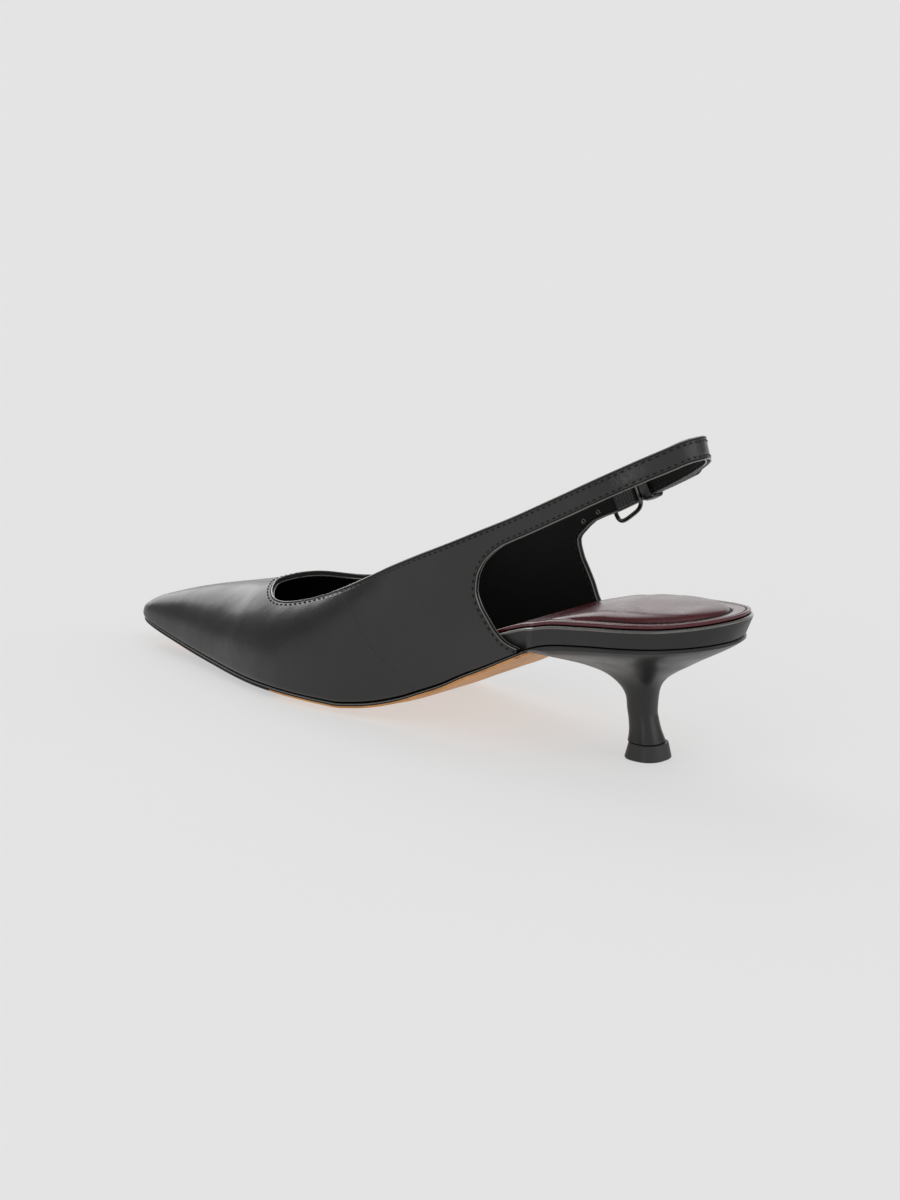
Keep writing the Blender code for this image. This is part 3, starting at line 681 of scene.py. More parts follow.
def crease_depth(points):
    """How far the leather sinks at points: for each crease, its depth times a bell across it and along it."""
    y, z = points[..., 1], points[..., 2]
    side = np.where(points[..., 0] > ridge_side(y), 1, -1)
    depth = np.zeros(y.shape)
    for name_side, station, rise, slope, length, width, deep in zip(*CREASES.values()):
        middle_y = along(station)
        top = min(float(ridge_height(middle_y)), float(topline_height(middle_y)) + 1.0 * (station < 0.39))
        middle_z = upper_foot(middle_y) + rise * (top - upper_foot(middle_y))
        turn = math.radians(slope)
        lengthways = (y - middle_y) * math.cos(turn) + (z - middle_z) * math.sin(turn)
        crossways = (z - middle_z) * math.cos(turn) - (y - middle_y) * math.sin(turn)
        bell = np.exp(-((lengthways / (length * MM)) ** 2) - (crossways / (width * MM)) ** 2)
        depth += np.where(side == name_side, deep * MM * bell, 0.0)
    return depth


def grid_normals(grid, outward):
    """Unit normals of a grid: its lengthways run crossed with its crossways run, turned by outward."""
    lengthways = np.gradient(grid, axis=0)
    crossways = np.gradient(grid, axis=1)
    return unit(np.cross(lengthways, crossways)) * outward


def creased(grid, side):
    """The grid with each point moved inwards along its normal by the creases there."""
    normals = grid_normals(grid, side)
    return grid - normals * crease_depth(grid)[..., None]


# Mesh making


def grid_quads(rows, steps, start=0, flip=False, wrap=False):
    """Quads of a grid stored row by row: each joins a point to the next step and the next row."""
    index = start + np.arange(rows * steps).reshape(rows, steps)
    if wrap:
        index = np.concatenate([index, index[:, :1]], axis=1)
    quads = np.stack([index[:-1, :-1], index[:-1, 1:], index[1:, 1:], index[1:, :-1]], axis=-1)
    quads = quads.reshape(-1, 4)
    return (quads[:, ::-1] if flip else quads).tolist()


def new_piece(name, points, faces, materials, bands=None, closed=True, sharp=40, groove=None):
    """A named object from points and faces, its coincident points merged, dressed in materials.

    A closed piece has its faces turned outwards, and bands gives each face's material by number. Groove is
    the distance in mm from each point to the nearest pressed line, kept for the material, which paints shade
    along the line.
    """
    mesh = bpy.data.meshes.new(name)
    mesh.from_pydata(np.reshape(points, (-1, 3)).tolist(), [], faces)
    if bands is not None:
        mesh.polygons.foreach_set("material_index", np.asarray(bands, np.int32))
    if groove is not None:
        kept = mesh.attributes.new("groove_mm", "FLOAT", "POINT")
        kept.data.foreach_set("value", np.ravel(groove).astype(np.float32))
    shape = bmesh.new()
    shape.from_mesh(mesh)
    bmesh.ops.remove_doubles(shape, verts=shape.verts, dist=0.00001)
    bmesh.ops.dissolve_degenerate(shape, edges=shape.edges, dist=0.00001)
    if closed:
        bmesh.ops.recalc_face_normals(shape, faces=shape.faces)
    shape.to_mesh(mesh)
    shape.free()
    for material in materials:
        mesh.materials.append(material)
    mesh.shade_smooth()
    mesh.set_sharp_from_angle(angle=math.radians(sharp))
    obj = bpy.data.objects.new(name, mesh)
    bpy.context.scene.collection.objects.link(obj)
    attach(obj, BODY)
    return obj


def capped_quads(count, around, start=0):
    """Faces of a closed tube of rings whose points are numbered from start."""
    faces = grid_quads(count, around, start=start, wrap=True)
    faces.append(list(range(start, start + around))[::-1])
    faces.append(list(range(start + (count - 1) * around, start + count * around)))
    return faces


def lofted(name, rings, material, ring_closed=False, sharp=40):
    """A closed piece through rings of points, capped at both ends or joined on itself like a link."""
    count, around = rings.shape[:2]
    if ring_closed:
        rings = np.concatenate([rings, rings[:1]])
        faces = grid_quads(count + 1, around, wrap=True)
    else:
        faces = capped_quads(count, around)
    return new_piece(name, rings, faces, (material,), sharp=sharp)


def tube_rings(path, radius, sides, reference, cyclic=False):
    """Rings of a round profile carried along a path, each square to it and turned to one reference."""
    if cyclic:
        run = np.roll(path, -1, axis=0) - np.roll(path, 1, axis=0)
    else:
        run = np.gradient(path, axis=0)
    run = unit(run)
    across = unit(np.cross(run, reference))
    over = np.cross(across, run)
    turn = np.linspace(0, 2 * math.pi, sides, endpoint=False)[None, :, None]
    radius = np.reshape(radius, (-1, 1, 1))
    return path[:, None] + radius * (np.cos(turn) * across[:, None] + np.sin(turn) * over[:, None])


def squared_circle(turn, power):
    """Cosine and sine of a turn, each raised to a power below one, which squares the circle off."""
    way, rise = np.cos(turn), np.sin(turn)
    return np.sign(way) * np.abs(way) ** power, np.sign(rise) * np.abs(rise) ** power


def spline_through(rows, count):
    """Points on a Catmull-Rom curve through rows of points, which may be whole rings."""
    rows = np.asarray(rows, float)
    place = np.linspace(0, len(rows) - 1, count)
    index = np.minimum(place.astype(int), len(rows) - 2)
    t = (place - index).reshape((-1,) + (1,) * (rows.ndim - 1))
    before = rows[np.maximum(index - 1, 0)]
    here, there = rows[index], rows[index + 1]
    after = rows[np.minimum(index + 2, len(rows) - 1)]
    return 0.5 * (
        2 * here
        + (there - before) * t
        + (2 * before - 5 * here + 4 * there - after) * t**2
        + (3 * here - before - 3 * there + after) * t**3
    )


def plan_side(y, inset):
    """Medial and lateral plan points at rows of Y, each moved in square to the outline by an inset."""
    medial = np.stack([half_width(y, 1), y], axis=-1)
    lateral = np.stack([-half_width(y, -1), y], axis=-1)
    loop = np.concatenate([medial, lateral[::-1]])
    run = unit(np.roll(loop, -1, axis=0) - np.roll(loop, 1, axis=0))
    inward = np.stack([-run[:, 1], run[:, 0]], axis=-1)
    inset = np.broadcast_to(inset, y.shape)
    moved = loop + inward * np.concatenate([inset, inset[::-1]])[:, None]
    return moved[: len(y)], moved[len(y) :][::-1]


def bottom_layer(
    name, y, inset, low, high, corners, materials, inked=None, flare=(0.0, 0.0), rim=None, groove=None
):
    """A closed layer of the shoe's bottom, as a strip carried once round its plan.

    Across the strip runs a section from the middle line out to the rim, round the upper corner, down,
    round the lower corner and back. Rows past the spine's ends all meet in one point there. Low and high
    are heights as functions of x, y and the share of the way from the middle line to the rim, and rim adds
    a height that depends on the distance from the rim. Inked gives the materials' numbers over, at the
    upper corner, beside and under; at the upper corner that may be a lighter finish as a painted highlight
    line. The flare moves points rearwards at the back of the seat. Groove gives the distance in mm to the
    nearest pressed line from x, y and the distance from the rim, where the material paints shade.
    """
    spine_y = np.clip(y, y[0] + 2 * MM, REAR_Y - 0.45 * SEAT_WIDTH)
    ends = np.stack([ridge_side(spine_y) * (spine_y < along(0.5)), spine_y], axis=-1)
    spine = np.concatenate([ends, ends[::-1]])
    turn = np.linspace(0, math.pi / 2, CORNER_STEPS)
    near = np.array([0.15, 0.35, 0.55, 0.75, 0.95, 1.15, 1.35, 1.6, 2.0, 2.6]) * MM
    inner = 1 - np.linspace(0, 1, 61)[1:]

    def outline(cut):
        """The plan's loop moved in by the inset and a cut."""
        medial, lateral = plan_side(y, inset + cut)
        return np.concatenate([medial, lateral[::-1]])

    columns_over, columns_under = [], []
    for corner, kept in ((corners[1], columns_over), (corners[0], columns_under)):
        edge = outline(corner + near[-1])
        for share in inner[::-1]:
            kept.append((between(spine, edge, share), share, corner + near[-1]))
        for away in near[::-1]:
            kept.append((outline(corner + away), 1.0, corner + away))
        for angle in turn:
            away = corner * (1 - math.sin(angle))
            kept.append((outline(away), 1.0, away))
    count = len(inner) + len(near)
    rise = [0.0] * count + [corners[1] * (1 - math.cos(angle)) for angle in turn]
    sink = [0.0] * count + [corners[0] * (1 - math.cos(angle)) for angle in turn]
    rings, grooves = [], []
    for number, (flat, share, away) in enumerate(columns_over):
        x, rows = flat[:, 0], flat[:, 1]
        grooves.append(groove(x, rows, away) if groove else np.zeros(len(x)))
        z = high(x, rows, share) - rise[number] + (rim(away) if rim else 0.0)
        rings.append(np.stack([x, rows + flare[1] * SEAT_FLARE * ease(rows / REAR_Y), z], axis=-1))
    for number, (flat, share, away) in list(enumerate(columns_under))[::-1]:
        x, rows = flat[:, 0], flat[:, 1]
        z = low(x, rows, share) + sink[number]
        grooves.append(np.full(len(x), 9.0))
        rings.append(np.stack([x, rows + flare[0] * SEAT_FLARE * ease(rows / REAR_Y), z], axis=-1))
    grid = np.stack(rings, axis=1)
    grid = np.concatenate([grid, grid[:1]])
    grooves = np.stack(grooves, axis=1)
    grooves = np.concatenate([grooves, grooves[:1]]) if groove else None
    bands = None
    if inked:
        kinds = np.repeat(inked, (count, CORNER_STEPS - 1, CORNER_STEPS, count))
        bands = np.tile(kinds, (len(grid) - 1, 1))
        tanned = grid[:-1, 0, 1] > along(INK_END)
        beside = count + CORNER_STEPS
        under = beside + CORNER_STEPS - 1
        bands[tanned, beside:under] = inked[3]
        bands[~tanned, under : under + INK_STRIPS] = inked[2]
        bands = bands.ravel()
    faces = grid_quads(*grid.shape[:2])
    return new_piece(name, grid, faces, materials, bands, sharp=60, groove=grooves)


def plan_rows(first, last, count, rear_turn=False):
    """World Y of rows along the shoe, closer near the toe, and by angle round the seat."""
    if not rear_turn:
        return along(between(first, last, np.linspace(0, 1, count) ** 1.6))
    front = between(first, PLACES["band_out"], np.linspace(0, 1, count) ** 1.3)
    turn = np.linspace(0, math.pi / 2, count)[1:]
    return along(np.concatenate([front, between(PLACES["band_out"], 0.99999, np.sin(turn))]))


def inside_upper(y):
    """Inset of what lies inside the upper's wall and, behind the quarter's tip, comes out to the edge."""
    behind = ease((station_of(y) - PLACES["band"]) / (PLACES["band_out"] - PLACES["band"]))
    return (UPPER_WALL + 2 * CLEARANCE) * (1 - behind)


def around_heel(medial, y, lateral):
    """One closed outline from the rear round both sides, with the two half widths at each Y."""
    x = np.concatenate([medial, [0.0], -lateral[::-1]])
    x[0] = (medial[0] - lateral[0]) / 2
    return np.stack([x, np.concatenate([y, y[-1:], y[::-1]])], axis=1)[:-1]


def stem_outline(half, depth, middle):
    """Outline of the stem, round at the rear and flat at the breast, from the rear by the medial side."""
    turn = np.linspace(0, 0.84 * math.pi, HEEL_SIDE_POINTS)
    x = half * np.sin(turn) ** 0.8
    y = middle + depth / 2 * np.sign(np.cos(turn)) * np.abs(np.cos(turn)) ** 0.8
    return around_heel(x, y, x)


def seat_outline():
    """Outline of the seat behind the breast, with as many points as the stem's."""
    turn = np.linspace(0, math.pi / 2, HEEL_SIDE_POINTS)
    y = between(along(PLACES["breast"]), REAR_Y - 0.2 * MM, np.cos(turn))
    return around_heel(half_width(y, 1), y, half_width(y, -1))


def pad_inside(x, y):
    """How far points lie inside the pad's outline, an oval round the seat that runs on forwards."""
    beside = np.where(x > 0, half_width(y, 1), half_width(y, -1)) - np.abs(x)
    behind = (1 - np.hypot(2 * x / SEAT_WIDTH, y / REAR_Y)) * SEAT_WIDTH / 2
    return np.where(y > 0, behind, beside) - PAD_RIM


def pad_swell(x, y):
    """Height of the padded heel over the sock's rim.

    Inside an oval it rises by a quarter circle, then slowly to the crown. A bell-shaped groove is pressed
    round its foot, and all of it fades out forwards.
    """
    inside = pad_inside(x, y)
    bulge = np.sqrt(1 - (1 - np.clip(inside / (6.5 * MM), 0, 1)) ** 2)
    rise = 0.72 * bulge + 0.28 * ease(inside / (20 * MM))
    groove = 0.55 * MM * np.exp(-(((inside + 0.3 * MM) / (0.5 * MM)) ** 2))
    return (PAD_CROWN * rise - groove) * ease((y - PAD_FRONT) / PAD_FADE)


# Colours and materials

TABLE_GLOW = 0.513
BLACK = (0.0, 0.0, 0.0, 1.0)
WHITE = (1.0, 1.0, 1.0, 1.0)

# What each material is made as: the colour's name, two tones of it that its pattern goes between, the sizes
# and depths in mm of its grain and waves, roughness as one number or two, and the shader's other sockets.
FINISHES = {
    # Smooth black nappa, drum dyed, with a thin semi-gloss coat, pulled over the last: soft broad
    # reflections, faint waves and slightly duller patches. The real grain is 0.4 mm, drawn as 0.8 to show.
    "smooth_nappa": dict(
        colour="nappa", tones=(1, 1.5), grain=(0.8, 0.022), waves=(14, 0.3), rough=(0.28, 0.37),
        shader={"IOR": 1.5, "Coat Weight": 0.15, "Coat Roughness": 0.25},
    ),
    # Near-black glove leather lining, pasted flat: matte, with a short open grain of about 0.7 mm.
    "glove_lining": dict(
        colour="lining", tones=(1, 1.8), grain=(0.7, 0.03), waves=(9, 0.15), rough=0.7, shader={"IOR": 1.3}
    ),
    # Black kid leather wrapped round the board's edge: satin, with small pulls where it is lasted under.
    "wrapped_kid": dict(
        colour="nappa", tones=(1, 1.6), grain=(0.8, 0.014), waves=(7, 0.18), rough=(0.34, 0.44),
        shader={"IOR": 1.5},
    ),
    # Burgundy sheepskin sock with a plated glossy finish over foam: wet-looking, soft dents, wine red.
    "plated_sheepskin": dict(
        colour="sock", tones=(1, 1.5), grain=(0.9, 0.005), waves=(16, 0.12), rough=(0.22, 0.32),
        shader={"IOR": 1.5, "Coat Weight": 0.1, "Coat Roughness": 0.2},
    ),
    # Thin black leather glued round the moulded heel: satin, close fine grain, no creases.
    "heel_cover": dict(
        colour="nappa", tones=(1, 1.5), grain=(0.7, 0.014), waves=(8, 0.1), rough=(0.3, 0.38),
        shader={"IOR": 1.5},
    ),
    # Cut leather edge with brushed-on black edge paint: matte, slightly uneven. The same black makes the thin
    # creases beside the rolled beads and the middles of the strap holes, where it is painted shade.
    "edge_paint": dict(
        colour="paint", tones=(1, 1.5), grain=(2, 0.06), detail=2, rough=0.6, shader={"IOR": 1.3}
    ),
    # Rolled leather edge, ironed and waxed: glossier than the skin, and coloured a lighter grey than the
    # black leather as a painted highlight, a thin grey line of light. It also makes the painted highlight
    # lines on the sole's and band's upper corners and round the strap holes.
    "burnished_edge": dict(
        colour="edge", tones=(1, 1.4), grain=(2.5, 0), detail=2, rough=(0.2, 0.3),
        shader={"IOR": 1.55, "Coat Weight": 0.8, "Coat Roughness": 0.15},
    ),
    # Black bonded polyester sewing thread, twisted: dull, with a short sheen across the twist.
    "polyester_thread": dict(
        colour="thread", tones=(1, 2), grain=(0.5, 0), detail=1, rough=0.6,
        shader={"IOR": 1.35, "Sheen Weight": 0.05},
    ),
    # Injection-moulded black polyurethane top piece: dull dark grey with a fine spark texture.
    "moulded_polyurethane": dict(
        colour="lift", tones=(1, 1.7), grain=(0.5, 0.05), detail=3, rough=0.48, shader={"IOR": 1.5}
    ),
    # Steel wire, bent, polished and plated with black nickel: dark mirror lines, faint handling haze.
    "black_nickel_plate": dict(
        colour="steel", tones=(1, 1), grain=(3, 0), detail=3, rough=(0.12, 0.24), shader={"Metallic": 1.0}
    ),
    # Opal acrylic light table, sanded matt: even pale grey, lit softly from beneath.
    "opal_acrylic": dict(
        colour="floor", tones=(0.995, 1), grain=(250, 0), detail=2, rough=0.9,
        shader={"Specular IOR Level": 0.0, "Emission Color": WHITE, "Emission Strength": TABLE_GLOW},
    ),
}


def linear(code):
    """A colour given as sRGB hex, as linear red, green and blue."""
    values = [int(code[i : i + 2], 16) / 255 for i in (1, 3, 5)]
    return tuple(v / 12.92 if v <= 0.04045 else ((v + 0.055) / 1.055) ** 2.4 for v in values)


def add_node(tree, kind, inputs, out=0, **settings):
    """Adds a shader node with its settings and inputs, values or links, and gives one of its outputs."""
    node = tree.nodes.new("ShaderNode" + kind)
    for key, value in settings.items():
        setattr(node, key, value)
    for key, value in inputs.items():
        if isinstance(value, bpy.types.NodeSocket):
            tree.links.new(value, node.inputs[key])
        else:
            node.inputs[key].default_value = value
    return node.outputs[out] if len(node.outputs) else None


def start_material(name):
    """A named material with an empty tree, its tree, and Object coordinates."""
    material = bpy.data.materials.new(name)
    material.use_nodes = True
    material.node_tree.nodes.clear()
    return material, material.node_tree, add_node(material.node_tree, "TexCoord", {}, "Object")


def end_material(tree, colour, tones, pattern, rough, gloss, shader, pressed=None):
    """Ends a tree with its Principled shader.

    The colour goes between two tones of itself with the pattern, and the roughness between two values with
    the gloss pattern. Where pressed falls to nought the surface is painted black and matte: painted shade
    in a groove.
    """
    base, light = ((*(min(1.0, c * tone) for c in colour), 1.0) for tone in tones)
    if tones[0] != tones[1]:
        base = add_node(tree, "Mix", {0: pattern, 6: base, 7: light}, 2, data_type="RGBA")
    if isinstance(rough, tuple):
        span = {0: gloss, 1: 0.3, 2: 0.7, 3: rough[0], 4: rough[1]}
        rough = add_node(tree, "MapRange", span, interpolation_type="SMOOTHSTEP")
    if pressed is not None:
        base = add_node(tree, "Mix", {0: pressed, 6: BLACK, 7: base}, 2, data_type="RGBA")
        rough = add_node(tree, "Mix", {0: pressed, 2: 0.9, 3: rough})
    shader = add_node(tree, "BsdfPrincipled", {"Base Color": base, "Roughness": rough, **shader})
    add_node(tree, "OutputMaterial", {"Surface": shader})


def plain(colours, name):
    """A material whose colour, roughness and relief follow one noise."""
    finish = FINISHES[name]
    material, tree, place = start_material(name)
    size, depth = finish["grain"]
    grain = add_node(tree, "TexNoise", {"Vector": place, "Scale": 1000 / size, "Detail": finish["detail"]})
    shader = dict(finish["shader"])
    if depth:
        shader["Normal"] = add_node(tree, "Bump", {"Height": grain, "Strength": 1.0, "Distance": depth * MM})
    colour = getattr(colours, finish["colour"])
    end_material(tree, colour, finish["tones"], grain, finish["rough"], grain, shader)
    return material


def leather(colours, name, stitched=False, shade_grooves=False):
    """A leather whose relief is a pebbled grain over broad waves.

    Stitched leather carries the distance to its cut edge: a shallow trough follows the stitch line, and the
    leather of the straps, which is higher up, is pulled into a coarser pebble. Leather with shaded grooves
    carries the distance to its pressed lines, where it is painted black and matte as painted shade.
    """
    finish = FINISHES[name]
    material, tree, place = start_material(name)
    (size, depth), (wave, swell) = finish["grain"], finish["waves"]
    cell = {"Vector": place, "Scale": 1000 / size, "Randomness": 1.0}
    cells = add_node(tree, "TexVoronoi", cell, feature="SMOOTH_F1")
    fine = add_node(tree, "TexNoise", {"Vector": place, "Scale": 1000 / (size * 2.5), "Detail": 4.0})
    broad = add_node(tree, "TexNoise", {"Vector": place, "Scale": 1000 / wave, "Detail": 2.0})
    relief = [(cells, depth * MM), (fine, depth * 1.5 * MM), (broad, swell * MM)]
    if stitched:
        up = add_node(tree, "SeparateXYZ", {0: place}, "Z")
        pull = {0: up, 1: STRAP_PULL[0], 2: STRAP_PULL[1], 3: 0.0, 4: 0.2 * MM}
        pull = add_node(tree, "MapRange", pull, interpolation_type="SMOOTHSTEP")
        pebble = add_node(tree, "TexNoise", {"Vector": place, "Scale": 1000 / 2.2, "Detail": 3.0})
        edge = add_node(tree, "Attribute", {}, "Fac", attribute_name="edge_mm")
        away = add_node(tree, "Math", {0: edge, 1: STITCH_INSET / MM}, operation="SUBTRACT")
        away = add_node(tree, "Math", {0: away}, operation="ABSOLUTE")
        trough = {0: away, 1: 0.0, 2: 0.9, 3: -0.1 * MM, 4: 0.0}
        trough = add_node(tree, "MapRange", trough, interpolation_type="SMOOTHSTEP")
        relief += [(pebble, pull), (trough, 1.0)]
    height = 0.0
    for pattern, amount in relief:
        height = add_node(tree, "Math", {0: pattern, 1: amount, 2: height}, operation="MULTIPLY_ADD")
    bump = add_node(tree, "Bump", {"Height": height, "Strength": 1.0, "Distance": 1.0})
    pressed = None
    # Pressed lines painted black and matte: painted shade in the grooves.
    if shade_grooves:
        away = add_node(tree, "Attribute", {}, "Fac", attribute_name="groove_mm")
        span = {0: away, 1: 0.25, 2: 0.55, 3: 0.0, 4: 1.0}
        pressed = add_node(tree, "MapRange", span, interpolation_type="SMOOTHSTEP")
    colour, shader = getattr(colours, finish["colour"]), {**finish["shader"], "Normal": bump}
    end_material(tree, colour, finish["tones"], fine, finish["rough"], broad, shader, pressed)
    return material


def sole_leather(colours):
    """Vegetable-tanned sole leather, rolled and waxed: tan, with fibres that run lengthways, 0.6 mm apart."""
    material, tree, place = start_material("veg_tan_sole")
    drawn = add_node(tree, "Mapping", {"Vector": place, "Scale": (1.0, 0.12, 1.0)})
    fibre = add_node(tree, "TexNoise", {"Vector": drawn, "Scale": 1000 / 0.6, "Detail": 3.0})
    cloud = add_node(tree, "TexNoise", {"Vector": place, "Scale": 1000 / 12.0, "Detail": 2.0})
    mixed = add_node(tree, "Math", {0: fibre, 1: cloud}, operation="MULTIPLY")
    span = {0: mixed, 1: 0.12, 2: 0.36, 3: 0.0, 4: 1.0}
    shade = add_node(tree, "MapRange", span, interpolation_type="SMOOTHSTEP")
    bump = add_node(tree, "Bump", {"Height": fibre, "Strength": 1.0, "Distance": 0.04 * MM})
    end_material(tree, colours.sole, (0.72, 1), shade, 0.5, None, {"IOR": 1.3, "Normal": bump})
    return material


def knitted_elastic(colours):
    """Black knitted elastic, gathered: dull, with fine cross threads 0.5 mm apart."""
    material, tree, place = start_material("knitted_elastic")
    wave = {"Vector": place, "Scale": 1000 / 0.5 / 20 * math.pi, "Distortion": 1.0}
    threads = add_node(tree, "TexWave", wave, "Fac", bands_direction="Z")
    bump = add_node(tree, "Bump", {"Height": threads, "Strength": 1.0, "Distance": 0.08 * MM})
    shader = {"Sheen Weight": 0.3, "Normal": bump}
    end_material(tree, colours.elastic, (1, 2.2), threads, 0.7, None, shader)
    return material


# Stitch lines


def stitch_places(points, normals, pitch):
    """Middles, directions and normals of stitches a pitch apart on a line."""
    length = np.concatenate([[0.0], np.cumsum(np.linalg.norm(np.diff(points, axis=0), axis=1))])
    at = np.arange(pitch / 2, length[-1], pitch)
    run = np.gradient(points, axis=0)
    spread = np.stack([[np.interp(at, length, a[:, i]) for i in range(3)] for a in (points, run, normals)])
    middle, run, normal = np.swapaxes(spread, 1, 2)
    run = unit(run)
    return middle, run, unit(normal - run * (normal * run).sum(axis=1, keepdims=True))


def stitch_mesh(middles, runs, normals, length, radius):
    """Points and faces of all stitches: short six-sided bars whose ends dip into the leather."""
    s = np.array([-1.0, -0.72, 0.0, 0.72, 1.0])
    girth = np.array([0.35, 0.85, 1.0, 0.85, 0.35])
    dip = np.array([-1.1, -0.15, 0.15, -0.15, -1.1])
    turn = np.linspace(0, 2 * math.pi, 6, endpoint=False)
    across = np.cross(runs, normals)
    middles, runs, normals, across = (v[:, None, None, :] for v in (middles, runs, normals, across))
    points = (
        middles
        + runs * (s * length / 2)[None, :, None, None]
        + across * (girth[:, None] * np.cos(turn) * radius)[None, ..., None]
        + normals * ((girth[:, None] * np.sin(turn) + dip[:, None]) * radius)[None, ..., None]
    )
    quads = np.array(grid_quads(5, 6, wrap=True))
    caps = np.array([[5, 4, 3, 2, 1, 0], [24, 25, 26, 27, 28, 29]])
    start = (np.arange(len(middles)) * 30)[:, None, None]
    faces = (quads + start).reshape(-1, 4).tolist() + (caps + start).reshape(-1, 6).tolist()
    return points.reshape(-1, 3), faces


def skin_normal(points, side):
    """Outward normals of the last's skin: its run along Y crossed with its run up round the section."""
    y, z = points[..., 1], points[..., 2]
    angle = arch_angle(y, z, side)
    lower = np.clip(angle - 0.01, 0.0, None)
    ahead = skin_point(y + 0.3 * MM, angle, side) - skin_point(y, angle, side)
    upward = skin_point(y, lower + 0.01, side) - skin_point(y, lower, side)
    return unit(np.cross(ahead, upward)) * side


def edge_lines():
    """Cut edges of the upper's outside by side and name, with the surface's normal and the way inwards.

    The way inwards is the normal crossed with the edge's run, turned to the side that the leather is on.
    """
    lines = {}
    for side, patches in skin_patches().items():
        front, tip, root = (creased(patch, side) for patch in patches)
        across = grid_normals(root, side)
        across[: ROOT_ROWS + 1] = skin_normal(root[: ROOT_ROWS + 1], side)
        throat = front[VAMP_ROWS - 1 :, -1]
        lower = tip[::-1, -1]
        for name, before, column, skin in (
            ("top", throat, -1, front[VAMP_ROWS - 1 :, -4]),
            ("low", lower, 0, tip[::-1, -4]),
        ):
            edge = np.concatenate([before, root[1:, column]])
            normal = np.concatenate([skin_normal(before, side), across[1:, column]])
            into = unit(np.cross(normal, unit(np.gradient(edge, axis=0))))
            turned = np.sign(((skin - before) * into[: len(before)]).sum(axis=1).mean())
            lines[side, name] = (edge, normal, into * turned)
    joined = zip([a[::-1] for a in lines[1, "top"]], lines[-1, "top"])
    top = [np.concatenate([a, b[1:]]) for a, b in joined]
    return top, lines[1, "low"], lines[-1, "low"]


def beside_edge(edge, normal, into, away, sink, inner):
    """Line a way in from an edge and sunk under the wall's outer or inner face."""
    corner = edge - normal * (UPPER_WALL if inner else 0.0)
    return corner + into * np.reshape(away, (-1, 1)) - normal * (-sink if inner else sink)


# Sizes and colours that a user may change


def length_prop(name, description, default):
    """A length property in metres, shown in the scene's units."""
    return bpy.props.FloatProperty(
        name=name, description=description, default=default, min=0.0, subtype="DISTANCE", unit="LENGTH"
    )


def colour_prop(name, description, code):
    """A linear colour property whose default is an sRGB hex code."""
    return bpy.props.FloatVectorProperty(
        name=name, description=description, default=linear(code), min=0.0, max=1.0, subtype="COLOR"
    )


class SlingbackSizes(bpy.types.PropertyGroup):
    """Sizes of what the scene adds to the solids."""

    stitch_pitch: length_prop("Stitch pitch", "Distance between two stitches", 2.6 * MM)
    stitch_length: length_prop("Stitch length", "Visible length of one stitch", 1.7 * MM)
    thread_radius: length_prop("Thread radius", "Half the thread's thickness", 0.32 * MM)
    bead_radius: length_prop("Bead radius", "Half the width of the rolled edge's bead", 0.25 * MM)
    hole_radius: length_prop("Hole radius", "Half the width of a punched strap hole", 0.7 * MM)
    seam_lip: length_prop("Seam lip", "Height of the side seam's two lips", 0.07 * MM)


class SlingbackColours(bpy.types.PropertyGroup):
    """Colours of the shoe's leathers, thread, rubber and metal."""

    nappa: colour_prop("Nappa", "Black leather of upper, band and heel", "#131211")
    lining: colour_prop("Lining", "Inside of the upper and the straps", "#0a0908")
    # Lighter grey than the black leather: a painted highlight along the rolled edges, sole, band and holes.
    edge: colour_prop("Rolled edge", "Rolled edges of the leather", "#545350")
    # Also the black of the thin creases beside the beads and of the strap holes, painted shade there.
    paint: colour_prop("Edge paint", "Painted cut edges and the sole's edge", "#0f0f0e")
    thread: colour_prop("Thread", "Topstitching", "#0b0b0b")
    sole: colour_prop("Sole", "Underside of the sole", "#d0975c")
    sock: colour_prop("Sock", "Padded sock", "#4a0f17")
    lift: colour_prop("Top piece", "Top piece under the heel", "#1f1f1f")
    elastic: colour_prop("Elastic", "Ruched elastic in the strap", "#141414")
    steel: colour_prop("Buckle", "Buckle's frame and prong", "#5c5a57")
    floor: colour_prop("Floor", "Light table", "#aaaaaa")


# Operators


